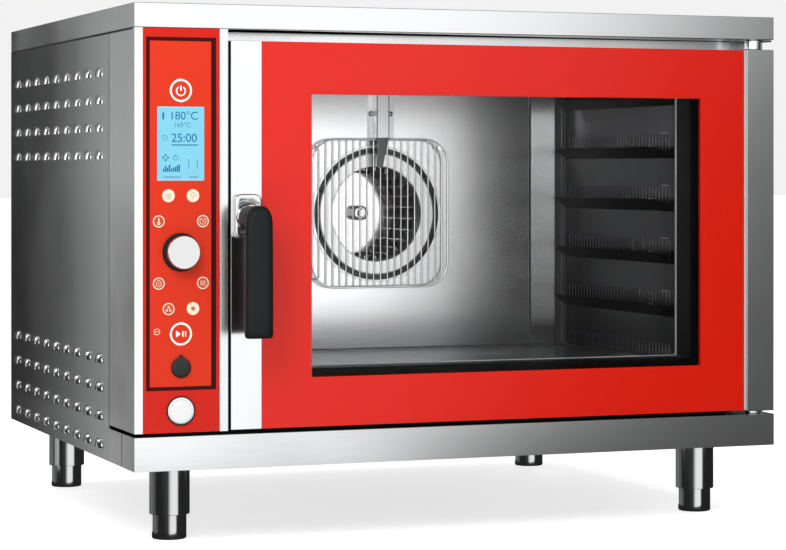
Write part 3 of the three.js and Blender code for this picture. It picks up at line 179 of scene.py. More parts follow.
# Black plastics, rubber and enamel: a soft highlight that the mould's fine speckle breaks up
BLACK = moulded("satin_black_polyamide", "#191A1C", 0.38)
SATIN_BLACK = moulded("glass_filled_polyamide", "#171B1C", 0.42, speckle_mm=0.7, relief=0.05, gloss=0.16)
SOFT_BLACK = moulded("moulded_silicone_flap", "#0E0E10", 0.38, speckle_mm=0.9, relief=0.06)
DARK = moulded("black_enamel_frame", "#08080A", 0.35, gloss=0.06)
RUBBER = moulded("silicone_rubber", "#0E0E10", 0.6, gloss=0.2)
# Painted shade: near-black strips laid in gaps and seams where shade falls
GAP_SHADE = moulded("black_painted_gap_shade", "#060607", 0.6)
# Inner stuffs: matt and plain, each in the colour that it is known by
BOARD = moulded("green_board_laminate", "#1E6A3E", 0.4)
WOOL = moulded("pressed_mineral_wool", "#B5A66E", 0.95, speckle_mm=3, relief=0.5)
MOTOR = moulded("grey_motor_enamel", "#4B5054", 0.4)
# Film and screen print of the panel: an even red under a slight orange peel, with flat inks
PANEL_RIM = moulded("red_screen_print_under_film", "#CC2215", 0.3, relief=0.0, gloss=0.12)
PANEL_FIELD = moulded("bright_red_polyester_film", "#D83317", 0.42, speckle_mm=0.6, relief=0.05, gloss=0.12)
# Painted shade: the groove round the key field, drawn flat in dark maroon
PANEL_GROOVE_SHADE = moulded("maroon_painted_groove_shade", "#3A0507", 0.3, relief=0.0, gloss=0.1)
CREAM = moulded("cream_key_print", "#F6E3C8", 0.3)
KEY_FILL = moulded("terracotta_key_print", "#C8441F", 0.45)
KEY_WHITE = moulded("white_key_print", "#FFF4E6", 0.4)
KEY_INK = moulded("red_brown_key_ink", "#B86A48", 0.5)
# Lit liquid crystal behind its lens: it glows of itself, and its segments lie flat on it
SCREEN = moulded("pale_blue_lit_display", "#84D0EA", 0.15, gloss=0.1, glow=0.3)
INK_DARK = moulded("dark_blue_display_segment", "#1080B8", 0.3, gloss=0.1)
INK_PALE = moulded("pale_display_segment", "#4C9DBE", 0.3, gloss=0.1)
LENS = clear_glass("display_lens")
# Tempered glass with enamel fired on its back: clear in the middle, deep and even red behind its gloss
GLASS = clear_glass("clear_tempered_glass")
DOOR_RED = moulded("red_enamel_behind_glass", "#DC1D0C", 0.06, relief=0.0, gloss=0.3)
RED = moulded("red_back_printed_glass", "#EE3420", 0.35, relief=0.0)
# What edges the glass: a pale silicone bead round the inner pane, the same pale stuff painted as the highlight
# along the outer glass's edge, and a glowing strip painted as the glint of a ground glass edge
PALE_BEAD_AND_EDGE_HIGHLIGHT = moulded("pale_bead_and_painted_edge_highlight", "#C9CACB", 0.35)
PAINTED_GLINT = moulded("glowing_painted_glass_glint", "#FFFFFF", 0.3, glow=0.55)


def colour_run(tree, distance, stops):
    """A colour that runs with a distance: stops are (distance, colour)."""
    low, high = stops[0][0], stops[-1][0]
    share = add_node(tree, "MapRange", {"From Min": low, "From Max": high}, {"Value": distance})
    ramp = add_node(tree, "ValToRGB", {}, {"Fac": share})
    marks = ramp.color_ramp.elements
    while len(marks) < len(stops):
        marks.new(0.5)
    for mark, (reach, colour) in zip(marks, stops):
        mark.position = (reach - low) / (high - low)
        mark.color = colour
    return ramp


def painted_height_shade(material, *stops):
    """Lets a chamber sheet's colour run with the height, to paint shade into it: stops are (height in mm,
    colour).
    """
    tree = material.node_tree
    place = add_node(tree, "TexCoord").outputs["Object"]
    height = add_node(tree, "SeparateXYZ", {}, {"Vector": place}).outputs["Z"]
    tint = colour_run(tree, height, [(at(0, 0, z).z, linear(colour)) for z, colour in stops])
    join(tree.nodes["Principled BSDF"], {"Base Color": tint})


# Painted shade and dark reflection: the bent strips, the rack sheets and the fan wall's foot grow darker
# towards the chamber floor
painted_height_shade(BEND_STEEL, (118, "#58595B"), (516, "#E9EAEB"))
painted_height_shade(RACK_SHADED_STEEL, (118, "#1E1F21"), (516, "#2A2B2E"))
painted_height_shade(BAFFLE_STEEL, (116, "#98999B"), (130, "#A6A8AA"), (154, "#C4C6C7"), (172, "#DDDEDF"),
          (200, "#E9EAEB"))


def dress(piece, *materials):
    """Gives a piece these materials and no others."""
    piece.data.materials.clear()
    for material in materials:
        piece.data.materials.append(material)


# The CAD nodes that show as they are; all others are replaced below
NODE_FINISH = {
    "chamber_liner": POLISHED, "chamber_insulation": WOOL, "fan_baffle": BAFFLE_STEEL, "heat_exchanger": TINTED,
    "door_gasket": RUBBER, "door_frame": DARK, "door_border_mask": RED, "door_inner_glass": GLASS,
    "handle_spindle": TINTED, "control_board": BOARD, "electrics_plate": GALVANISED, "display_module": SCREEN,
}
for node, material in NODE_FINISH.items():
    dress(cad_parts[node], material)

# Ways of making pieces

def in_scene(name, data):
    thing = bpy.data.objects.new(name, data)
    bpy.context.scene.collection.objects.link(thing)
    return thing


def only(piece):
    """Selects one piece alone and makes it the active one."""
    bpy.ops.object.select_all(action="DESELECT")
    piece.select_set(True)
    bpy.context.view_layer.objects.active = piece


def set_place():
    """Puts the active piece's place, turn and size into its mesh."""
    bpy.ops.object.transform_apply(location=True, rotation=True, scale=True)


def fresh(kind, scale=(1, 1, 1), **settings):
    """A new primitive, alone and active, with its place set in its mesh."""
    bpy.ops.object.select_all(action="DESELECT")
    getattr(bpy.ops.mesh, f"primitive_{kind}_add")(**settings)
    piece = bpy.context.object
    piece.scale = scale
    set_place()
    return piece


def take_all():
    bpy.ops.mesh.select_all(action="SELECT")


def opened(piece):
    """Takes one piece into edit mode with all of it selected."""
    only(piece)
    bpy.ops.object.mode_set(mode="EDIT")
    take_all()
    return piece


def cut(places, axis):
    """In edit mode, cuts all of a piece across one axis at some places, in oven measures."""
    for place in places:
        take_all()
        bpy.ops.mesh.bisect(plane_co=at(place, place, place), plane_no=[i == axis for i in range(3)])


def choose(piece, kind, wanted):
    """In edit mode, selects the vertices or faces whose middle passes a test, in oven measures."""
    bpy.ops.mesh.select_mode(type={"verts": "VERT", "faces": "FACE"}[kind])
    bpy.ops.mesh.select_all(action="DESELECT")
    shape = bmesh.from_edit_mesh(piece.data)
    for part in getattr(shape, kind):
        corners = [part] if kind == "verts" else part.verts
        if wanted(*measures(sum((piece.matrix_world @ v.co for v in corners), Vector()) / len(corners))):
            part.select_set(True)
    shape.select_flush_mode()
    bmesh.update_edit_mesh(piece.data)


def tidy_skin(piece, smooth=35):
    """Leaves edit mode with doubles merged, faces outward and only the gentle edges smooth."""
    take_all()
    bpy.ops.mesh.remove_doubles(threshold=0.002 * MM)
    bpy.ops.mesh.normals_make_consistent(inside=False)
    bpy.ops.object.mode_set(mode="OBJECT")
    only(piece)
    bpy.ops.object.shade_smooth_by_angle(angle=radians(smooth))


def modified(piece, kind, **settings):
    """Puts what one modifier makes of a piece into its mesh."""
    only(piece)
    change = piece.modifiers.new(kind, kind)
    for name, value in settings.items():
        setattr(change, name, value)
    bpy.ops.object.modifier_apply(modifier=kind)
    return piece


def flat_shading(piece):
    """Keeps the wide faces' normals straight beside small ones, so that gloss runs evenly over them."""
    return modified(piece, "WEIGHTED_NORMAL", keep_sharp=True, weight=100)


def rounded(piece, radius, steps=3):
    """Rounds the sharp edges of a piece."""
    modified(piece, "BEVEL", width=radius * MM, segments=steps, limit_method="ANGLE", angle_limit=radians(30))
    bpy.ops.object.shade_smooth_by_angle(angle=radians(50))
    return flat_shading(piece)


def walled(piece, thickness, offset=0):
    """Gives a bare skin the thickness of its sheet."""
    modified(piece, "SOLIDIFY", thickness=thickness * MM, offset=offset)
    bpy.ops.object.shade_smooth_by_angle(angle=radians(40))
    return piece


def settle(piece, name, material, slot, *stands_for, body="oven"):
    """Names a finished piece, puts its place in its mesh and hangs it on the body it moves with."""
    only(piece)
    set_place()
    piece.name = name
    if material:
        dress(piece, material)
    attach(piece, body)
    if stands_for:
        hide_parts(*stands_for)


def draw_out(move, ratio, centre):
    """In edit mode, draws the chosen rim out by a move and resizes it about a centre."""
    bpy.ops.mesh.extrude_region_move(TRANSFORM_OT_translate={"value": move})
    bpy.ops.transform.resize(value=ratio, center_override=centre)


def turned(centre, stations, sides=48, way="y"):
    """A round piece, drawn out of a circle along one way: stations are (radius, distance)."""
    def spot(reach):
        return at(centre[0], reach, centre[1]) if way == "y" else at(centre[0], centre[1], reach)
    piece = fresh("circle", vertices=sides, radius=stations[0][0] * MM,
                  rotation=FACING if way == "y" else (0, 0, 0), location=spot(stations[0][1]))
    bpy.ops.object.mode_set(mode="EDIT")
    bpy.ops.mesh.select_mode(type="VERT")
    take_all()
    for (radius, reach), (next_radius, next_reach) in zip(stations, stations[1:]):
        ratio = next_radius / radius
        draw_out(spot(next_reach) - spot(reach), (ratio, 1, ratio) if way == "y" else (ratio, ratio, 1),
                 spot(next_reach))
    take_all()
    if stations[0] != stations[-1]:
        bpy.ops.mesh.fill_holes(sides=0)
    tidy_skin(piece)
    return flat_shading(piece)


def slab(x, y, z, corner=0.0, steps=6, edge=0.0):
    """A flat piece that faces the front: a plane, its corners rounded, drawn out in Y."""
    (left, right), (low, high) = sorted(x), sorted(z)
    piece = opened(fresh("plane", ((right - left) * MM, (high - low) * MM, 1), size=1,
                         rotation=FACING, location=at((left + right) / 2, y[0], (low + high) / 2)))
    if corner:
        bpy.ops.mesh.bevel(affect="VERTICES", offset=corner * MM, segments=steps)
        take_all()
    bpy.ops.mesh.extrude_region_move(TRANSFORM_OT_translate={"value": (0, (y[1] - y[0]) * MM, 0)})
    tidy_skin(piece)
    return rounded(piece, edge) if edge else piece


def pierced(x, y, z, across, up):
    """An upright sheet at x with a hole wherever a band in depth crosses a band in height."""
    sheet = opened(fresh("plane", ((z[1] - z[0]) * MM, (y[1] - y[0]) * MM, 1), size=1,
                         rotation=SIDEWAYS, location=at(x, (y[0] + y[1]) / 2, (z[0] + z[1]) / 2)))
    for bands, axis in ((up, 2), (across, 1)):
        cut(sorted({place for band in bands for place in band}), axis)
    choose(sheet, "faces",
           lambda px, py, pz: any(a < pz < b for a, b in up) and any(a < py < b for a, b in across))
    bpy.ops.mesh.delete(type="FACE")
    tidy_skin(sheet)
    return sheet


def merged_copy(node):
    """A copy of a CAD node's mesh with its loose triangles joined into whole faces."""
    piece = opened(in_scene(node + "_copy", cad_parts[node].data.copy()))
    bpy.ops.mesh.remove_doubles(threshold=0.005 * MM)
    bpy.ops.mesh.dissolve_limited(angle_limit=radians(0.5))
    bpy.ops.object.mode_set(mode="OBJECT")
    return piece


def printed_copy(node, across, up, materials, pick):
    """A copy of a CAD sheet, cut across and up where its print ends; pick numbers each face's material."""
    sheet = opened(merged_copy(node))
    cut(across, 0)
    cut(up, 2)
    bpy.ops.object.mode_set(mode="OBJECT")
    finish_faces(sheet, materials, pick)
    return sheet


def finish_faces(piece, materials, pick):
    dress(piece, *materials)
    for face in piece.data.polygons:
        face.material_index = int(pick(*measures(face.center)))


def moved_copy(piece, move):
    """A copy of a piece with its mesh moved by so many millimetres."""
    copy = in_scene(piece.name, piece.data.copy())
    copy.data.transform(Matrix.Translation([step * MM for step in move]))
    return copy


def drilled(piece, tool):
    """Cuts another piece out of one, and takes it away."""
    modified(piece, "BOOLEAN", operation="DIFFERENCE", solver="EXACT", object=tool)
    bpy.data.objects.remove(tool)
    return piece


def united(first, *others):
    """Joins several meshes into one piece, each shell whole."""
    bpy.ops.object.select_all(action="DESELECT")
    for piece in (first, *others):
        piece.select_set(True)
    bpy.context.view_layer.objects.active = first
    bpy.ops.object.join()
    return first


def wire(paths, thickness, closed=False, flat=None, sides=3):
    """Round wires along paths of (x, y, z), or print strokes where flat gives their depth in Y."""
    lines = bpy.data.curves.new("wire", "CURVE")
    lines.dimensions = "3D"
    lines.bevel_depth = thickness / 2 * MM
    lines.bevel_resolution = sides
    lines.use_fill_caps = True
    for path in paths:
        line = lines.splines.new("POLY")
        line.points.add(len(path) - 1)
        line.use_cyclic_u = closed
        for point, place in zip(line.points, path):
            point.co = (*at(*place), 1)
    only(in_scene("wire", lines))
    bpy.ops.object.convert(target="MESH")
    piece = opened(bpy.context.object)
    if flat:
        bpy.ops.transform.resize(value=(1, flat / thickness, 1), center_override=at(*paths[0][0]))
    tidy_skin(piece, 60)
    return piece


def arc(x, z, radius, start, end, steps=16):
    """Points (x, z) of an arc, in degrees clockwise from the top."""
    turns = [radians(start + (end - start) * i / steps) for i in range(steps + 1)]
    return [(x + radius * sin(turn), z + radius * cos(turn)) for turn in turns]


def strokes(lines, y, width, centre=(0, 0)):
    """A flat printed sign of round-ended strokes about a centre, 0.08 mm thick."""
    paths = [[(centre[0] + px, y, centre[1] + pz) for px, pz in line] for line in lines]
    return wire(paths, width, flat=0.08, sides=1)


def lettering(words, x, y, z, height):
    """Plain figures as a thin raised print, from the lower left corner at x, z."""
    bpy.ops.object.select_all(action="DESELECT")
    bpy.ops.object.text_add(rotation=FACING, location=at(x, y, z))
    text = bpy.context.object.data
    text.body = words
    text.size = height * MM / 0.7
    text.extrude = 0.04 * MM
    text.resolution_u = 4
    bpy.ops.object.convert(target="MESH")
    set_place()
    return bpy.context.object


# Control column: the printed panel, its keys, display, knob, probe cover and badge

PANEL_X = 61.9
PANEL_Y = 0.4
KEY_Y = 0.1
LINE_X = (15.6, 20.6, 102.6, 109.4)
LINE_Z = (103.6, 108.6, 554.9, 559.9)
SMALL_KEYS = ((45.5, 355), (78.3, 355), (45.5, 209), (78.3, 209), (32.4, 322), (91.4, 322), (32.4, 242),
              (91.4, 242))
PALE_KEYS = (1, 2, 4)
BOLD_SIGNS = (4, 5)
WAVES = [[(-3.6 + i * 0.9, rise + 0.7 * sin(i * 1.6)) for i in range(9)] for rise in (1.6, -0.6)]
KEY_SIGNS = {
    1: WAVES + [[(-3, -3.4), (3, -3.4)]],
    2: [[(-3, 2.6), (0, -3.2), (3, 2.6)], [(-2, 3.6), (2, 3.6)]],
    3: [arc(dx, dz, 1.3, 0, 360, 10) for dx, dz in ((0, 2.2), (-2.3, -1.7), (2.3, -1.7))],
    4: [[(-3.2, 0), (3.2, 0)], [(0, -3.2), (0, 3.2)], [(-2.2, -2.2), (2.2, 2.2)], [(-2.2, 2.2), (2.2, -2.2)]],
    5: [[(0, -1.2), (0, 4.2)], arc(0, -2.8, 1.5, 0, 360, 10)],
    6: [arc(0, 0, 4.1, 25, 335), [(0, 3.2), (0, 0), (1.8, -1.2)]],
    7: [arc(0, -0.6, 3.4, 45, 315), [(-2.4, 1.8), (0, 5), (2.4, 1.8)], [(0, -2.2), (0, 0.6)]],
    8: [[(dx + 0.6 * sin(i * 1.3), -3.4 + i * 0.75) for i in range(10)] for dx in (-2.6, 0, 2.6)],
}
PLAY_HALF = 4.6
PLAY = [[(-6.6, rise), (-0.4 - 6.2 * abs(rise) / PLAY_HALF, rise)]
        for rise in (PLAY_HALF - i for i in range(1, 9))]
LARGE_KEYS = (
    ("power", "power_key", 491.0, [arc(0, -0.6, 5.9, 32, 328), [(0, -0.4), (0, 6.6)]], 2.1),
    ("start", "start_stop_key", 176.5, PLAY + [[(dx, -3.6), (dx, 3.6)] for dx in (2.6, 6.2)], 1.7),
)


def ring_print(x, z, outer, width):
    """A printed ring, 0.05 mm proud of the key."""
    inner, front = outer - width, KEY_Y - 0.05
    return turned((x, z), [(inner, KEY_Y), (outer, KEY_Y), (outer, front), (inner, front), (inner, KEY_Y)], 40)


def small_key(number):
    """One round key: the soft cap, its printed ring or disc and its sign."""
    x, z = SMALL_KEYS[number - 1]
    body, pale = f"key_{number}_body", number in PALE_KEYS
    settle(turned((x, z), [(3, 8.9), (3, 2.6), (8.4, 2.6), (8.4, 0.5), (8.1, 0.2), (7.7, KEY_Y)], 40),
           f"key_cap_{number}", CREAM if pale else KEY_FILL, "cream_key", f"function_key_{number}", body=body)
    settle(turned((x, z), [(7.7, KEY_Y), (7.7, KEY_Y - 0.04)], 40) if pale else ring_print(x, z, 7.9, 1.3),
           f"key_print_{number}", CREAM, "cream_key", body=body)
    settle(strokes(KEY_SIGNS[number], KEY_Y - 0.05, 1.5 if number in BOLD_SIGNS else 0.85, (x, z)),
           f"key_sign_{number}", KEY_INK if pale else CREAM, "cream_key", body=body)


def large_key(name, node, z, lines, width):
    """One large round key in the panel's red, with its printed ring and sign."""
    body = node + "_body"
    cap = turned((PANEL_X, z), [(3, 8.9), (3, 2.6), (15.4, 2.6), (15.4, 0.6), (15.1, 0.25), (14.6, KEY_Y)], 56)
    settle(cap, f"{name}_key_cap", PANEL_FIELD, "red_panel", node, body=body)
    settle(ring_print(PANEL_X, z, 14.9, 2.7), f"{name}_key_ring", KEY_WHITE, "cream_key", body=body)
    settle(strokes(lines, KEY_Y - 0.02, width, (PANEL_X, z)),
           f"{name}_key_sign", KEY_WHITE, "cream_key", body=body)


def display_print():
    """Generic figures and signs of the lit display: a set and a measured temperature and a time."""
    y = 0.64
    dark = [lettering("180\u00b0C", 46.5, y, 453.5, 10.4), lettering("25:00", 49, y, 424.6, 11)]
    pale = [lettering("165\u00b0C", 52.5, y, 443.6, 6.2)]
    bars = enumerate((4, 8, 5.5, 9, 4, 5, 6.5, 8, 9.4))
    for ink, width, lines in (
            (dark, 1.6, [[(49.6, 420.6), (85, 420.6)]]),
            (dark, 2.3, [[(38.4, 455), (38.4, 462.5)], [(38.4, 453.4), (38.4, 454.6)]]),
            (pale, 0.7, [arc(40.6, 429.5, 3.6, 0, 360, 16), [(40.6, 432), (40.6, 429.5), (42.6, 428.6)]]),
            (dark, 1.1, [arc(x, z, 1.1, 0, 360, 8)
                         for x, z in ((41.6, 407.4), (41.6, 401.4), (38.6, 404.4), (44.6, 404.4))]),
            (pale, 0.8, [arc(55, 404.4, 3.2, 0, 360, 14), [(55, 404.4), (55, 407)]]),
            (dark, 1.9, [[(39 + i * 2.6, 386), (39 + i * 2.6, 386 + h)] for i, h in bars]),
            (pale, 0.9, [[(72.6, 390), (72.6, 402)], [(84, 390), (84, 402)]]),
            (pale, 1.3, [[(39, 379.2), (62, 379.2)], [(73, 379.2), (85, 379.2)]])):
        ink.append(strokes(lines, y, width))
    settle(united(*dark), "display_figures", INK_DARK, "display_blue")
    settle(united(*pale), "display_small_figures", INK_PALE, "display_blue")
    settle(slab((30.9, 92.9), (0.62, 0.42), (375.1, 469.6), edge=0.08), "display_window", LENS, "clear_glass")


def turning_knob():
    """A bright turned knob: a low black skirt, a straight wall and a crowned, mirror-like face."""
    middle = (PANEL_X, 282.0)
    settle(turned(middle, [(24.6, 0.1), (24.9, -0.3), (24.9, -2.2), (23.8, -3), (20, -3.1)], 72),
           "knob_skirt", SATIN_BLACK, "black_plastic", body="knob")
    wall = turned(middle, [(19.5, -3.0), (22, -3.2), (22, -14.6), (21.8, -15.8), (21.2, -16.6), (20.3, -16.9),
                           (12, -16.98), (4, -17)], 72)
    settle(wall, "knob_cap", KNOB_SHINE, "chrome_trim", "selector_knob", body="knob")


def probe_cover():
    """The black rubber flap over the probe socket: a low dome with a lip line and a pull tab."""
    x, z = PANEL_X, 133.0
    dome = turned((x, z), [(13, 0.35), (13.2, 0), (13.2, -1.3), (12.6, -2.1), (10.5, -2.7), (6, -2.95),
                           (2, -3)], 56)
    tab = slab((x - 3, x + 3), (-1.8, 0.2), (z + 10, z + 16.5), corner=2.4, edge=0.6)
    ridge = slab((x - 7.5, x + 7.5), (-3.0, -2.4), (z - 2.2, z - 1), corner=0.5, edge=0.2)
    settle(united(dome, tab, ridge), "probe_cover_flap", SOFT_BLACK, "black_plastic", "probe_socket_cover",
           body="socket_cover")


def bare_badge():
    """The round badge, left plain: a bright domed disc in a dark turned rim."""
    middle = (PANEL_X, 77.0)
    rim = turned(middle, [(17.4, 0.4), (19, 0.4), (19, -0.9), (18.6, -1.3), (17.8, -1.3), (17.4, -0.8),
                          (17.4, 0.4)], 72)
    settle(rim, "badge_rim", SATIN_BLACK, "chrome_trim")
    face = turned(middle, [(17.4, 0.4), (17.5, -0.8), (17, -1.1), (15.2, -1.15), (15, -0.85), (14.4, -0.85),
                           (14.2, -1.18), (11, -1.24), (7, -1.3), (3, -1.33)], 72)
    settle(face, "badge_face", BADGE_SHINE, "chrome_trim", "badge_disc")


# The red front sheet: a deeper red rim, a dark maroon outline painted as the shade of the groove round the
# field, and the brighter field of the keys
panel = printed_copy("control_fascia", LINE_X, LINE_Z, (PANEL_RIM, PANEL_GROOVE_SHADE, PANEL_FIELD), lambda x, y, z:
                     (LINE_X[0] < x < LINE_X[3] and LINE_Z[0] < z < LINE_Z[3])
                     + (LINE_X[1] < x < LINE_X[2] and LINE_Z[1] < z < LINE_Z[2]))
settle(panel, "control_panel_print", None, "red_panel", "control_fascia")
for number in range(1, 9):
    small_key(number)
for large in LARGE_KEYS:
    large_key(*large)
ring_sign = strokes([arc(30, 180, 3.8, 0, 360, 20), [(27.9, 180), (32.1, 180)]], PANEL_Y - 0.05, 0.9)
settle(ring_sign, "small_ring_sign", CREAM, "cream_key")
display_print()
turning_knob()
probe_cover()
bare_badge()


# Door: the two-part pane, its edges and the lever handle

CLEAR_X = (240.6, 813.5)
CLEAR_Z = (115.5, 488)
LEVER_X, LEVER_Y = 150.0, -55.0


def lever():
    """The soft oval grip, its boss, collar and plate. Levels are (height, half width, half depth, lean)."""
    levels = [(172.0, 15.6, 6.5, 0), (172.8, 17.2, 8.6, 0), (174.6, 18.2, 10.0, 0), (178, 18.5, 10.9, 0),
              (200, 18.5, 11, 0), (240, 18.35, 11, 0), (280, 18.1, 11, 0), (310, 17.9, 11, 0),
              (322, 17.6, 11, 0), (329, 16.6, 10.9, 0.2), (334, 14.9, 10.5, 0.6), (338, 12.4, 9.7, 1.4),
              (340.8, 9.2, 8.2, 2.6), (342.1, 5.6, 5.6, 4.2), (342.5, 2.4, 2.6, 5.4)]
    roundness = 0.72
    foot = at(LEVER_X, LEVER_Y, levels[0][0])
    bpy.ops.object.select_all(action="DESELECT")
    bpy.ops.mesh.primitive_circle_add(vertices=40, radius=MM, location=foot)
    grip = opened(bpy.context.object)
    shape = bmesh.from_edit_mesh(grip.data)
    for vert in shape.verts:
        turn = atan2(vert.co.y, vert.co.x)
        for axis, share in ((0, cos(turn)), (1, sin(turn))):
            vert.co[axis] = MM * copysign(abs(share) ** roundness, share)
    bmesh.update_edit_mesh(grip.data)
    take_all()
    bpy.ops.transform.resize(value=(levels[0][1], levels[0][2], 1), center_override=foot)
    for (low, wide, deep, lean), (high, next_wide, next_deep, next_lean) in zip(levels, levels[1:]):
        draw_out((0, (next_lean - lean) * MM, (high - low) * MM), (next_wide / wide, next_deep / deep, 1),
                 at(LEVER_X, LEVER_Y + next_lean, high))
    take_all()
    bpy.ops.mesh.fill_holes(sides=0)
    tidy_skin(grip, 70)
    pivot = (LEVER_X, 326)
    boss = turned(pivot, [(15.8, -12.4), (15.8, -40), (15.4, -46), (14.2, -52), (11, -56)], 56)
    settle(united(grip, boss), "lever_grip", SATIN_BLACK, "black_plastic", "handle_lever", body="handle")
    collar = turned(pivot, [(16, -12.4), (17.4, -12.4), (17.8, -13.4), (17.8, -19.4), (17, -20.4), (16, -20.4),
                            (16, -12.4)], 64)
    settle(collar, "lever_collar", CHROME, "chrome_trim", body="handle")
    plate = slab((132, 168), (-0.3, -11.7), (298.2, 357.2), corner=9, steps=8, edge=2.4)
    shaft_hole = turned((LEVER_X, 327.7), [(13, -14), (13, 2)], 40)
    settle(drilled(plate, shaft_hole), "lever_plate", SATIN_CHROME, "chrome_trim", "handle_plate", body="door")


# The outer pane: clear in the middle and printed red behind its border
pane = printed_copy("door_outer_glass", CLEAR_X, CLEAR_Z, (DOOR_RED, GLASS), lambda x, y, z:
                    CLEAR_X[0] < x < CLEAR_X[1] and CLEAR_Z[0] < z < CLEAR_Z[1])
settle(pane, "door_pane", None, "clear_glass", "door_outer_glass", body="door")
# The bead that holds the inner pane, and a glowing strip along its foot painted as the glint of its edge
bead = drilled(slab((199.5, 802.5), (46.5, 51.5), (124.5, 502.5), corner=4),
               slab((202.5, 799.5), (44, 54), (127.5, 499.5), corner=3))
settle(rounded(bead, 0.5, 2), "inner_pane_bead", PALE_BEAD_AND_EDGE_HIGHLIGHT, "polished_steel", body="door")
settle(slab((420, 806), (46.2, 46.6), (124.9, 127.1), edge=0.15),
       "inner_pane_glint", PAINTED_GLINT, "clear_glass", body="door")
lever()


# Chamber: fan, intake ring, wire guard, steam duct and tray racks

FAN = (494.0, 322.0)
RING_Y = 440.6
BLADES = 24


def wire_guard():
    """The guard in front of the fan: a round border wire, nineteen upright wires and four feet."""
    left, right, low, high, bend, y = 386.0, 604.0, 211.5, 434.5, 36.5, 427.5
    corners = ((right - bend, high - bend), (right - bend, low + bend), (left + bend, low + bend),
               (left + bend, high - bend))
    border = [(px, y, pz) for quarter, (x, z) in enumerate(corners)
              for px, pz in arc(x, z, bend, 90 * quarter, 90 * quarter + 90, 10)]
    guard = wire([border], 3.0, closed=True, sides=4)
    uprights = []
    for i in range(1, 20):
        x = left - 1.5 + i * (right - left + 3) / 20
        into = max(bend - min(x - left, right - x), 0)
        drop = bend - sqrt(max(bend ** 2 - into ** 2, 0))
        uprights.append([(x, y, low + drop), (x, y, high - drop)])
    feet = [[(x, y, z), (x, 441.6, z)] for x in (left + 12.5, right - 12.5) for z in (low + 12.5, high - 12.5)]
    guard = united(guard, wire(uprights, 2.3), wire(feet, 5.6, sides=4))
    settle(guard, "fan_wire_guard", WIRE, "polished_steel", "fan_grille")


def from_axis(x, z):
    return hypot(x - FAN[0], z - FAN[1])


def spun_ring():
    """The spun intake ring: a flat flange, a sunk groove and the bell that leads into the wheel, the groove and
    the bell's throat painted dark grey as shade.
    """
    turns = [step * pi / 8 for step in range(5)]
    bell = [(71.5 + 1.6 * (1 - sin(turn)), RING_Y + 1.6 * (1 - cos(turn))) for turn in turns]
    line = [(104.2, RING_Y), (100.2, RING_Y), (99.6, RING_Y + 0.8), (99.6, RING_Y + 8), (91.4, RING_Y + 8),
            (91.4, RING_Y + 0.8), (90.6, RING_Y), *bell, (71.5, RING_Y + 21)]
    back = [(r + 1.2 if r < 92 else r, y + 1.2) for r, y in reversed(line)]
    ring = turned(FAN, line + back + line[:1], 96)
    # Painted shade: the groove's walls and floor and the throat behind the bell in dark grey steel
    finish_faces(ring, (RING_STEEL, GREY_STEEL_AND_SHADE), lambda x, y, z:
                 90.9 < from_axis(x, z) < 100.2 and y > RING_Y + 0.3
                 or from_axis(x, z) < 72 and y > RING_Y + 1.7)
    settle(ring, "spun_intake_ring", None, "polished_steel", "intake_ring")


def blower_wheel():
    """The fan wheel: a dished back plate, curved blades painted darker as shade with edges painted bright as
    highlights, a front band, hub and nut.
    """
    plate = turned(FAN, [(11, 531), (62, 531), (62.6, 531.1), (63.6, 531.9), (95.6, 559.6), (96.4, 560),
                         (104.8, 559.4), (104.8, 560.9), (96.2, 561.8), (94.8, 561), (62.6, 533.2),
                         (61.8, 532.5), (11, 532.5), (11, 531)], 96)
    band = turned(FAN, [(83, 470.1), (104.8, 470.1), (104.8, 471.5), (83, 471.5), (83, 470.1)], 96)
    settle(united(plate, band), "fan_wheel_sheet", WHEEL_STEEL, "dark_steel", "fan_wheel", body="fan")
    blades = []
    inner, strip, strips = 66, 9.5, 4
    for i in range(BLADES):
        turn = 2 * pi * (i + 0.5) / BLADES
        blade = fresh("grid", x_subdivisions=strips, y_subdivisions=1, size=1, location=(0, 0, 0))
        for vert in blade.data.vertices:
            k = round((vert.co.x + 0.5) * strips)
            reach, lead = inner + strip * k, turn + 0.35 * (k / strips) ** 2
            y = 471.4 if vert.co.y < 0 else 535.0 + (reach - inner) * 0.64
            vert.co = at(FAN[0] + reach * cos(lead), y, FAN[1] + reach * sin(lead))
        blades.append(walled(blade, 1.6))
    vanes = united(*blades)
    # Painted highlight: the blades' inner and front edges in the bright ring steel
    finish_faces(vanes, (BLADE_SHADE_STEEL, RING_STEEL), lambda x, y, z: from_axis(x, z) < inner + 0.3 or y < 472)
    settle(vanes, "fan_blades", None, "dark_steel", body="fan")
    hub = turned(FAN, [(7, 640), (7, 532), (11.5, 532), (11.5, 510.4), (10.6, 508.6), (8.4, 508), (7.4, 508)])
    nut = turned(FAN, [(7, 508.4), (7, 503), (6.2, 501.9), (4, 501.6), (3.4, 501.8)], 6)
    settle(united(hub, nut), "fan_hub", HUB_STEEL, "dark_steel", body="fan")


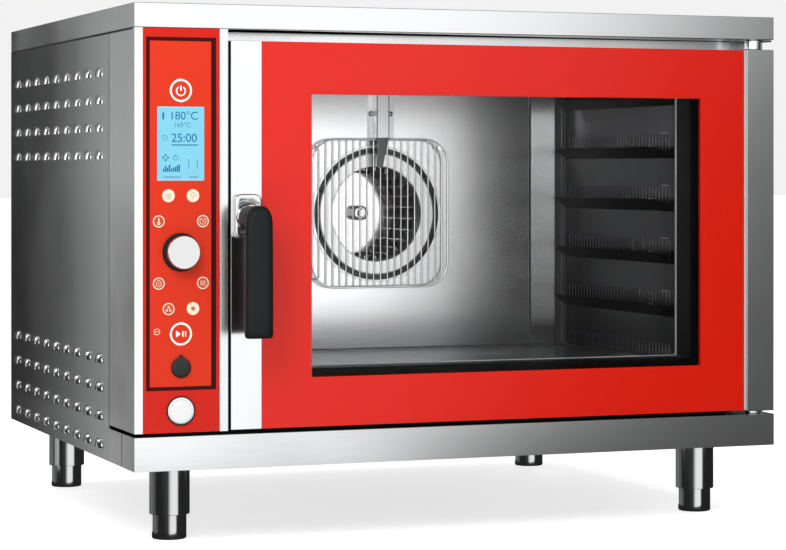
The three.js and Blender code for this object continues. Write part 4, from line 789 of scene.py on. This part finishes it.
def steam_way():
    """The narrow steam duct with its two screws, and the dark tapered spout in front of the fan."""
    front, left, right, low, high = 421.8, 487.8, 506.8, 436.4, 517.6
    duct = slab((left, right), (front, 441.3), (low, high), edge=0.9)
    flanges = slab((480.5, 521), (440.1, 441.4), (low, high), corner=1.5, edge=0.3)
    settle(united(duct, flanges), "steam_duct_sheet", DUCT_STEEL, "polished_steel", "steam_duct")
    # Painted shade: dark grey lines down the duct's two edges
    edges = [slab((x - half, x + half), (front - 0.1, front + 0.6), (low, high))
             for x, half in ((left, 0.75), (right, 0.45))]
    settle(united(*edges), "duct_edge_lines", GREY_STEEL_AND_SHADE, "dark_steel")
    for name, x in (("left", 484.6), ("right", 515.6)):
        settle(turned((x, 473.5), [(4, 440.3), (4, 439.7), (3, 439.6)], 24),
               f"duct_washer_{name}", GREY_STEEL_AND_SHADE, "dark_steel")
        settle(turned((x, 473.5), [(2.9, 439.8), (2.9, 439.2), (2.4, 438.6), (1.4, 438.2), (0.6, 438.1)], 24),
               f"duct_screw_{name}", BEND_STEEL, "polished_steel")
    blade = opened(slab((488, 506.6), (422, 424.4), (392, 436)))
    choose(blade, "verts", lambda x, y, z: z < 400)
    bpy.ops.transform.resize(value=(0.47, 1, 1), center_override=at(488, 423, 392))
    tidy_skin(blade)
    rounded(blade, 0.5, 2)
    tab = slab((490, 504.6), (423.2, 424.6), (435, 449.5))
    settle(united(blade, tab), "spout_blade", SPOUT_STEEL, "dark_steel", "steam_spout")


def bent_sides():
    """The fan wall's bent sides, which catch the light and are painted darker towards the floor, a strip
    painted as the shaded line by each, and a black strip painted as the shade in the gap at its foot.
    """
    # Painted shade: a black strip for the gap at the fan wall's foot
    settle(slab((201, 787), (440.9, 441.8), (117.4, 119.2)), "baffle_foot_gap", GAP_SHADE, "rubber_seal")
    for name, root, edge in (("right", 750, 787), ("left", 238, 201)):
        width = abs(edge - root)
        strip = fresh("grid", (width * MM, 398.8 * MM, 1), x_subdivisions=10,
                      y_subdivisions=1, size=1, rotation=FACING, location=at((root + edge) / 2, 442, 318))
        for vert in strip.data.vertices:
            share = abs(measures(vert.co)[0] - root) / width
            vert.co.y -= (5.4 * share + 0.9 * share ** 2) * MM
        settle(walled(strip, 0.8), f"baffle_bend_{name}", BEND_STEEL, "polished_steel")
        # Painted shade: the dark line beside the bend
        settle(slab((root, root + (root - edge) * 0.12), (441.5, 442), (118.6, 517.4)),
               f"baffle_bend_shade_{name}", BEND_SHADE_STEEL, "polished_steel")


def slotted_rack(side, wall, inward):
    """A tray rack: a thin side sheet with close slots over each sloping ledge, and folded ends."""
    front, back, low, high, reach = 69.0, 440.0, 118.4, 515.6, inward * 20
    roots = [178.3 + 75.4 * n for n in range(5)]
    bands = [(root + 4.5, root + 34.5) for root in roots] + [(121.5, 140.4)]
    slots = [(front + 14 + 10.6 * i, front + 19.4 + 10.6 * i) for i in range(33)]
    sheet = walled(pierced(wall, (front, back), (low, high), slots, bands), 1.2)
    fold = slab((wall, wall - inward * 33), (front, front + 1.2), (low, high))
    turn = slab((wall, wall + inward * 19), (back - 1.2, back), (low, high))
    # The rack sheet in near-black steel, its dark reflection and shade painted in
    settle(united(sheet, fold), f"{side}_rack_sheet", RACK_SHADED_STEEL, "polished_steel", f"{side}_tray_rack")
    ridge = slab((wall + inward * 6, wall + inward * 8), (back - 2.6, back - 1), (low, high), edge=0.4)
    settle(united(turn, ridge), f"{side}_rack_fold", FOLD_STEEL, "polished_steel")
    for level, root in enumerate(roots, 1):
        ledge = opened(slab((wall, wall + reach), (front + 1.4, back - 1.6), (root, root + 1.4)))
        choose(ledge, "verts", lambda x, y, z: abs(x - wall - reach) < 1)
        bpy.ops.transform.translate(value=(0, 0, 16 * MM))
        choose(ledge, "verts", lambda x, y, z: abs(x - wall - reach) < 1 and y < front + 5)
        bpy.ops.transform.translate(value=(0, 22 * MM, 0))
        tidy_skin(ledge)
        # Each ledge in the painted shade stuff
        settle(ledge, f"{side}_ledge_{level}", LEDGE_SHADE, "polished_steel")
        near, far = wall + inward * 2, wall + inward * 19
        hook = wire([[(near, 78, root + 3), (far, 99, root + 17.6), (far, 112, root + 18.4)],
                     [(wall + inward * 1.6, y, root + 37) for y in (84, 108)]], 1.6, sides=2)
        settle(hook, f"{side}_tray_stop_{level}", CHROME, "polished_steel")


# Body: pressed louvres, smooth legs, dark seals and soft sheet edges

SIDE_DEPTH = (131.3, 751)
SIDE_HEIGHT = (0, 571.7)
COLUMNS = [186 + i * (SIDE_DEPTH[1] - 51.4 - 186) / 8 for i in range(9)]
UPPER_ROWS = [520 - 37.2 * i for i in range(4)]
LOWER_ROWS = [134 - 38.2 * i for i in range(4)]
LEGS = (("front_left", 74, 100), ("front_right", 856, 100), ("rear_left", 74, 691), ("rear_right", 856, 691))


def louvred_side(side, face, outward, rows):
    """A side sheet with rows of pressed louvres: each a low dome, cut flat and open at its lower edge."""
    sheet = pierced(face, SIDE_DEPTH, SIDE_HEIGHT, [(column - 15, column + 15) for column in COLUMNS],
                    [(row - 5.5, row + 1.5) for row in rows])
    walled(sheet, 2, 1 if (sheet.data.polygons[0].normal.x > 0) == (outward < 0) else -1)
    hood = opened(fresh("uv_sphere", (3.9 * MM, 19 * MM, 11.5 * MM), segments=20,
                        ring_count=12, radius=1, location=at(face, 0, 0)))
    for place, way in ((at(face - outward * 0.2, 0, 0), (-outward, 0, 0)), (at(0, 0, -1.2), (0, 0, -1))):
        bpy.ops.mesh.bisect(plane_co=place, plane_no=way, clear_outer=True)
        take_all()
    bpy.ops.transform.translate(value=(0, 0, -4.3 * MM))
    bpy.ops.object.mode_set(mode="OBJECT")
    walled(hood, 0.9, -1)
    hoods = [moved_copy(hood, (0, column, row)) for row in rows for column in COLUMNS]
    bpy.data.objects.remove(hood)
    settle(united(*hoods), f"{side}_louvres", LOUVRE_STEEL, "brushed_steel")
    settle(sheet, f"{side}_side_sheet", STEEL_Y, "brushed_steel", f"{side}_side_panel")


def smooth_leg(corner, x, y):
    """A leg: the bright turned sleeve and the narrower screw foot that shows below it."""
    sleeve = turned((x, y), [(23.8, -68), (26.9, -68), (27.3, -67.5), (27.3, -0.4), (23.8, -0.4),
                             (23.8, -68)], 64, "z")
    settle(sleeve, f"leg_tube_{corner}", LEG_STEEL, "chrome_trim", f"leg_sleeve_{corner}")
    foot = turned((x, y), [(20, -101), (21.4, -101), (22.4, -100.5), (23, -99.4), (23, -27), (20, -27),
                           (20, -101)], 64, "z")
    settle(foot, f"leg_screw_foot_{corner}", LEG_STEEL, "chrome_trim", f"leg_foot_{corner}",
           body=f"foot_{corner}")


def rear_screws():
    """Pan-head screws round the rear panel: one is modelled and the others are its copies."""
    x0, z0 = 40, 22
    screw = turned((x0, z0), [(4.6, 750.6), (4.6, 752.6), (4.1, 753.4), (3, 753.9), (1.4, 754)], 24)
    drilled(screw, slab((x0 - 2.6, x0 + 2.6), (753.2, 754.6), (z0 - 0.6, z0 + 0.6)))
    others = [(x, z) for z in (22, 560) for x in (250, 465, 680, 890)] + [(40, 296), (890, 296), (40, 560)]
    screws = [moved_copy(screw, (x - x0, 0, z - z0)) for x, z in others]
    settle(united(screw, *screws), "rear_panel_screws", CHROME, "polished_steel")


def dark_gaps():
    """Black strips painted as the shade in the narrow gaps round the door and in the body's seams, and a pale
    strip painted as the highlight along the glass edge.
    """
    # Painted highlight: a pale strip along the outer glass's edge, bright whatever it faces
    settle(slab((883.2, 886.6), (0.9, 4.5), (50.4, 556.6), edge=0.5),
           "glass_edge_painted_highlight", PALE_BEAD_AND_EDGE_HIGHLIGHT, "polished_steel", body="door")
    # Painted shade: black strips in the gaps by the stile, under the door and in the body's seams
    settle(slab((129.0, 129.6), (1.2, 50), (51, 556.5)), "stile_edge_gap_shade", GAP_SHADE, "rubber_seal", body="door")
    seals = [("sill_seal", (125.6, 886), (62.8, 63.8), (44.6, 60))]
    for side, x in (("left", (-0.25, 0.05)), ("right", (929.95, 930.25))):
        seals += [(f"base_seam_{side}", x, (63.6, 64.6), (1, 43.4)),
                  (f"cap_seam_{side}", x, (8, 750), (569.6, 571.8)),
                  (f"column_seam_{side}", x, (131, 131.8), (45, 569.6))]
    for name, *box in seals:
        settle(slab(*box), name, GAP_SHADE, "rubber_seal")


wire_guard()
spun_ring()
blower_wheel()
steam_way()
bent_sides()
slotted_rack("right", 808, -1)
slotted_rack("left", 180, 1)
louvred_side("left", 0, -1, UPPER_ROWS + LOWER_ROWS)
louvred_side("right", 930, 1, LOWER_ROWS)
for leg in LEGS:
    smooth_leg(*leg)
# CAD parts whose bends and cut edges are only rounded, by so many millimetres
for node, name, material, slot, radius in (
        ("top_cap", "cap_sheet", STEEL_X, "brushed_steel", 1.2),
        ("base_tray", "base_sheet", STEEL_X, "brushed_steel", 1.0),
        ("control_housing", "housing_sheet", STEEL_Z, "brushed_steel", 0.8),
        ("door_latch_stile", "stile_sheet", STILE_STEEL, "brushed_steel", 0.9),
        ("door_hinge_column", "hinge_column_sheet", STEEL_Z, "brushed_steel", 0.9),
        ("hinge_pin_top", "turned_hinge_pin_top", CHROME, "polished_steel", 0.6),
        ("hinge_pin_bottom", "turned_hinge_pin_bottom", CHROME, "polished_steel", 0.6),
        ("flue_outlet", "flue_spigot", GALVANISED, "galvanised", 0.5),
        ("cable_gland", "cable_gland_nut", BLACK, "black_plastic", 0.5),
        ("gas_burner", "burner_body", BRASS, "brass_fitting", 0.5),
        ("water_pipe", "bent_water_pipe", COPPER, "copper_tube", 0.5),
        ("fan_motor", "motor_can", MOTOR, "motor_casing", 0.5),
        ("rear_panel", "rear_sheet", GALVANISED, "galvanised", 0.5),
        ("front_frame", "front_sheet", STEEL_Z, "brushed_steel", 0.5)):
    settle(rounded(merged_copy(node), radius, 2), name, material, slot, node,
           body="door" if node.startswith("door") else "oven")
rear_screws()
dark_gaps()


# Stage, camera and light

def bounces(tree):
    """A light path's sockets, and how often a ray has bounced, glass left out."""
    path = add_node(tree, "LightPath").outputs
    return path, add_node(tree, "Math", {"operation": "ADD"},
                          {0: path["Diffuse Depth"], 1: path["Glossy Depth"]})


def kinds_of_ray(tree):
    """Tells rays apart: those seen straight, also through glass, those of a gloss, and those that leave
    through glass after a bounce, which count as gloss too."""
    path, count = bounces(tree)
    direct = add_node(tree, "Math", {"operation": "LESS_THAN", 1: 0.5}, {0: count})
    gloss, glass = (add_node(tree, "Math", {"operation": "SUBTRACT", "use_clamp": True},
                             {0: path[kind], 1: direct}) for kind in ("Is Glossy Ray", "Is Transmission Ray"))
    return direct, gloss, glass


def stage_floor():
    """A pale floor that gloss sees dark, so that the sheet metal keeps its depth of tone."""
    floor = fresh("plane", size=80, location=(0, 0, 0))
    floor.name = "studio_floor"
    material, tree, paper = new_material("pale_studio_paper", {
        "Base Color": linear("#E2E2E2"), "Roughness": 0.8, "Emission Color": linear("#FFFFFF")})
    direct, gloss, glass = kinds_of_ray(tree)
    seen = add_node(tree, "MapRange", {"To Min": 0.28, "To Max": 0.72}, {"Value": direct})
    join(paper, {"Emission Strength": seen})
    dim = add_node(tree, "Emission", {"Color": linear("#FFFFFF"), "Strength": 0.02})
    mirrored = add_node(tree, "Math", {"operation": "MAXIMUM"}, {0: gloss, 1: glass})
    both = add_node(tree, "MixShader", {}, {0: mirrored, 1: paper, 2: dim})
    join(tree.nodes["Material Output"], {"Surface": both})
    dress(floor, material)


def reflector(name, corners, along, stops, unseen_by="transmission", later=None):
    """A card that only reflections see, with four corners, or two opposite ones if it is upright. Its
    brightness runs along one way: stops are (metres, brightness). later is its even brightness for rays
    after two bounces, which keeps the chamber free of grain."""
    if len(corners) == 2:
        (x0, y0, z0), (x1, y1, z1) = corners
        corners = [(x0, y0, z0), (x1, y1, z0), (x1, y1, z1), (x0, y0, z1)]
    mesh = bpy.data.meshes.new(name)
    mesh.from_pydata(corners, [], [(0, 1, 2, 3)])
    card = in_scene(name, mesh)
    for ray in ("camera", "diffuse", "volume_scatter", "shadow", unseen_by):
        setattr(card, "visible_" + ray, False)
    material = bpy.data.materials.new(name)
    material.use_nodes = True
    tree = material.node_tree
    tree.nodes.clear()
    place = add_node(tree, "TexCoord").outputs["Object"]
    run = add_node(tree, "VectorMath", {"operation": "DOT_PRODUCT", 1: along}, {0: place}).outputs["Value"]
    colour = colour_run(tree, run, [(reach, (shade, shade, shade, 1)) for reach, shade in stops])
    if later is not None:
        far = add_node(tree, "Math", {"operation": "GREATER_THAN", 1: 1.5}, {0: bounces(tree)[1]})
        colour = add_node(tree, "Mix", {"data_type": "RGBA", 7: (later, later, later, 1)},
                          {0: far, 6: colour}).outputs[2]
    glow = add_node(tree, "Emission", {}, {"Color": colour})
    add_node(tree, "OutputMaterial", {}, {"Surface": glow})
    dress(card, material)


def softbox(name, place, aim, size, power, seen_in_gloss=False):
    data = bpy.data.lights.new(name, "AREA")
    data.shape = "RECTANGLE"
    data.size, data.size_y = size
    data.energy = power
    lamp = in_scene(name, data)
    lamp.location = place
    lamp.rotation_euler = (Vector(aim) - Vector(place)).to_track_quat("-Z", "Y").to_euler()
    lamp.visible_glossy = seen_in_gloss
    lamp.visible_transmission = False


def studio_world():
    """Pale studio walls, lighter to the camera than as light, and dim to gloss and glass, which show the
    cards instead."""
    world = bpy.data.worlds.new("studio")
    world.use_nodes = True
    tree = world.node_tree
    direct, gloss, glass = kinds_of_ray(tree)
    seen = add_node(tree, "Math", {"operation": "MULTIPLY_ADD", 1: 0.47, 2: 0.42}, {0: direct})
    shiny = add_node(tree, "Math", {"operation": "MULTIPLY_ADD", 1: -0.35}, {0: gloss, 2: seen})
    strength = add_node(tree, "Math", {"operation": "MULTIPLY_ADD", "use_clamp": True, 1: -0.32},
                        {0: glass, 2: shiny})
    join(tree.nodes["Background"], {"Strength": strength})
    tree.nodes["Background"].inputs["Color"].default_value = linear("#FFFFFF")
    bpy.context.scene.world = world


def leg_cards(corner, x, y):
    """Three narrow cards round a leg, by their turn from the line to the camera, for the bands down it."""
    foot = at(x, y, -101)
    view = degrees(atan2(x - CAMERA[0], y - CAMERA[1]))
    for side, turn, half, stops in (
            ("front", 10.6, 0.055, [(-0.055, 0.02), (-0.02, 0.05), (-0.007, 0.8), (0.0, 1.15), (0.035, 1.15),
                                    (0.042, 0.6), (0.048, 0.05), (0.055, 0.02)]),
            ("left", -91, 0.03, [(-0.03, 0.26), (0.03, 0.08)]),
            ("edge", -150, 0.03, [(-0.03, 0.9), (0.03, 0.9)])):
        way = Vector((sin(radians(turn - view)), -cos(radians(turn - view)), 0))
        across = Vector((-way.y, way.x, 0))
        middle = foot + way * 0.07
        reach = middle.dot(across)
        reflector(f"leg_reflector_{side}_{corner}",
                  (middle - across * half, middle + across * half + Vector((0, 0, 0.099))), across,
                  [(reach + place, shade) for place, shade in stops])


# The camera that was fitted to the photograph
CAMERA = (-826.0, -3131.0, 388.2)
lens = bpy.data.cameras.new("photo_camera")
lens.sensor_width = 36
lens.lens = 115.0
lens.shift_y = -0.1335
camera = in_scene("photo_camera", lens)
camera.location = at(*CAMERA)
camera.rotation_euler = (radians(90), 0, radians(-20.66))
bpy.context.scene.camera = camera

stage_floor()
studio_world()
for card in (
        ("front_reflector", ((-1.6, -1.3, 0.001), (2.2, -1.3, 1.6)), (1, 0, -0.6),
         [(-0.9, 1.25), (-0.1, 1.2), (0.08, 1.05), (0.26, 0.8), (0.46, 0.38), (0.66, 0.16), (0.95, 0.08),
          (1.8, 0.05)]),
        ("side_reflector", ((-0.8, 3.4, 0.001), (-0.8, 0.86, 1.6)), (0, 1, 0),
         [(0.86, 0.72), (1.02, 0.52), (1.2, 0.24), (1.4, 0.07), (1.65, 0.015), (3.4, 0)]),
        ("louvre_reflector", ((-2.2, -1.6, 0.2), (-2.2, -0.1, 2.4)), (0, 0, 1), [(0.2, 1.4), (2.4, 1.4)]),
        ("base_reflector", ((-1.2, -0.9, 0.001), (1.6, -0.9, 0.085)), (1, 0, 0),
         [(-1.2, 1.3), (-0.2, 1.2), (0, 1.02), (0.2, 0.45), (0.34, 0.18), (0.67, 0.09), (1.6, 0.05)]),
        ("low_side_reflector", ((-0.62, 1.4, 0.001), (-0.62, 0.2, 0.088)), (0, 1, 0),
         [(0.2, 0.55), (0.38, 0.4), (0.55, 0.24), (0.78, 0.1), (1.05, 0.03), (1.4, 0.02)]),
        ("ceiling_reflector", [(-2.4, -0.4, 3.4), (2.4, -0.4, 3.4), (2.4, 3.4, 3.4), (-2.4, 3.4, 3.4)],
         (-0.6, 0.5, 0), [(-1.6, 0.16), (-0.3, 0.28), (0.8, 0.5), (3.1, 0.6)]),
        ("louvre_streak", [(-1.95, 2.5, 0.4), (-1.5, 2.5, 0.4), (-2.35, 2.5, 2.2), (-2.9, 2.5, 2.2)],
         (0, 0, 1), [(0, 2.6), (2.2, 2.6)]),
        ("chamber_reflector", ((-1.6, -1.32, 0.001), (2.2, -1.32, 1.6)), (1, 0, -0.35),
         [(-1.5, 1.6), (0.4, 1.6), (0.49, 1.5), (0.55, 0.7), (0.6, 0.35), (0.66, 0.5), (0.72, 0.66),
          (0.78, 0.62), (0.87, 0.5), (0.96, 0.3), (1.1, 0.15), (1.8, 0.04)], "glossy", 0.6),
        ("rear_reflector", ((2.0, 2.6, 0.001), (-0.42, 2.6, 2.0)), (-0.7, 0, 0.5),
         [(-1.4, 0.16), (-0.4, 0.3), (0.4, 0.62), (1.3, 0.8)]),
        ("right_reflector", ((2.6, -0.9, 0.001), (2.6, 2.4, 2.0)), (0, 0.8, 0.4),
         [(-0.7, 0.2), (0.4, 0.36), (1.2, 0.6), (2.7, 0.75)])):
    reflector(*card)
for leg in LEGS:
    leg_cards(*leg)
softbox("key_softbox", (-1.1, -1.75, 1.9), (0, 0, 0.35), (1.2, 1.2), 18)
softbox("left_softbox", (-1.15, -1.35, 1.05), (-0.3, -0.35, 0.4), (0.7, 0.7), 7)
softbox("top_softbox", (0, 0.2, 3.2), (0, 0, 0), (3, 3), 40)
softbox("chamber_lamp", at(215, 70, 470), at(420, 440, 300), (0.1, 0.05), 1.5, True)
bpy.context.scene.view_settings.view_transform = "Standard"
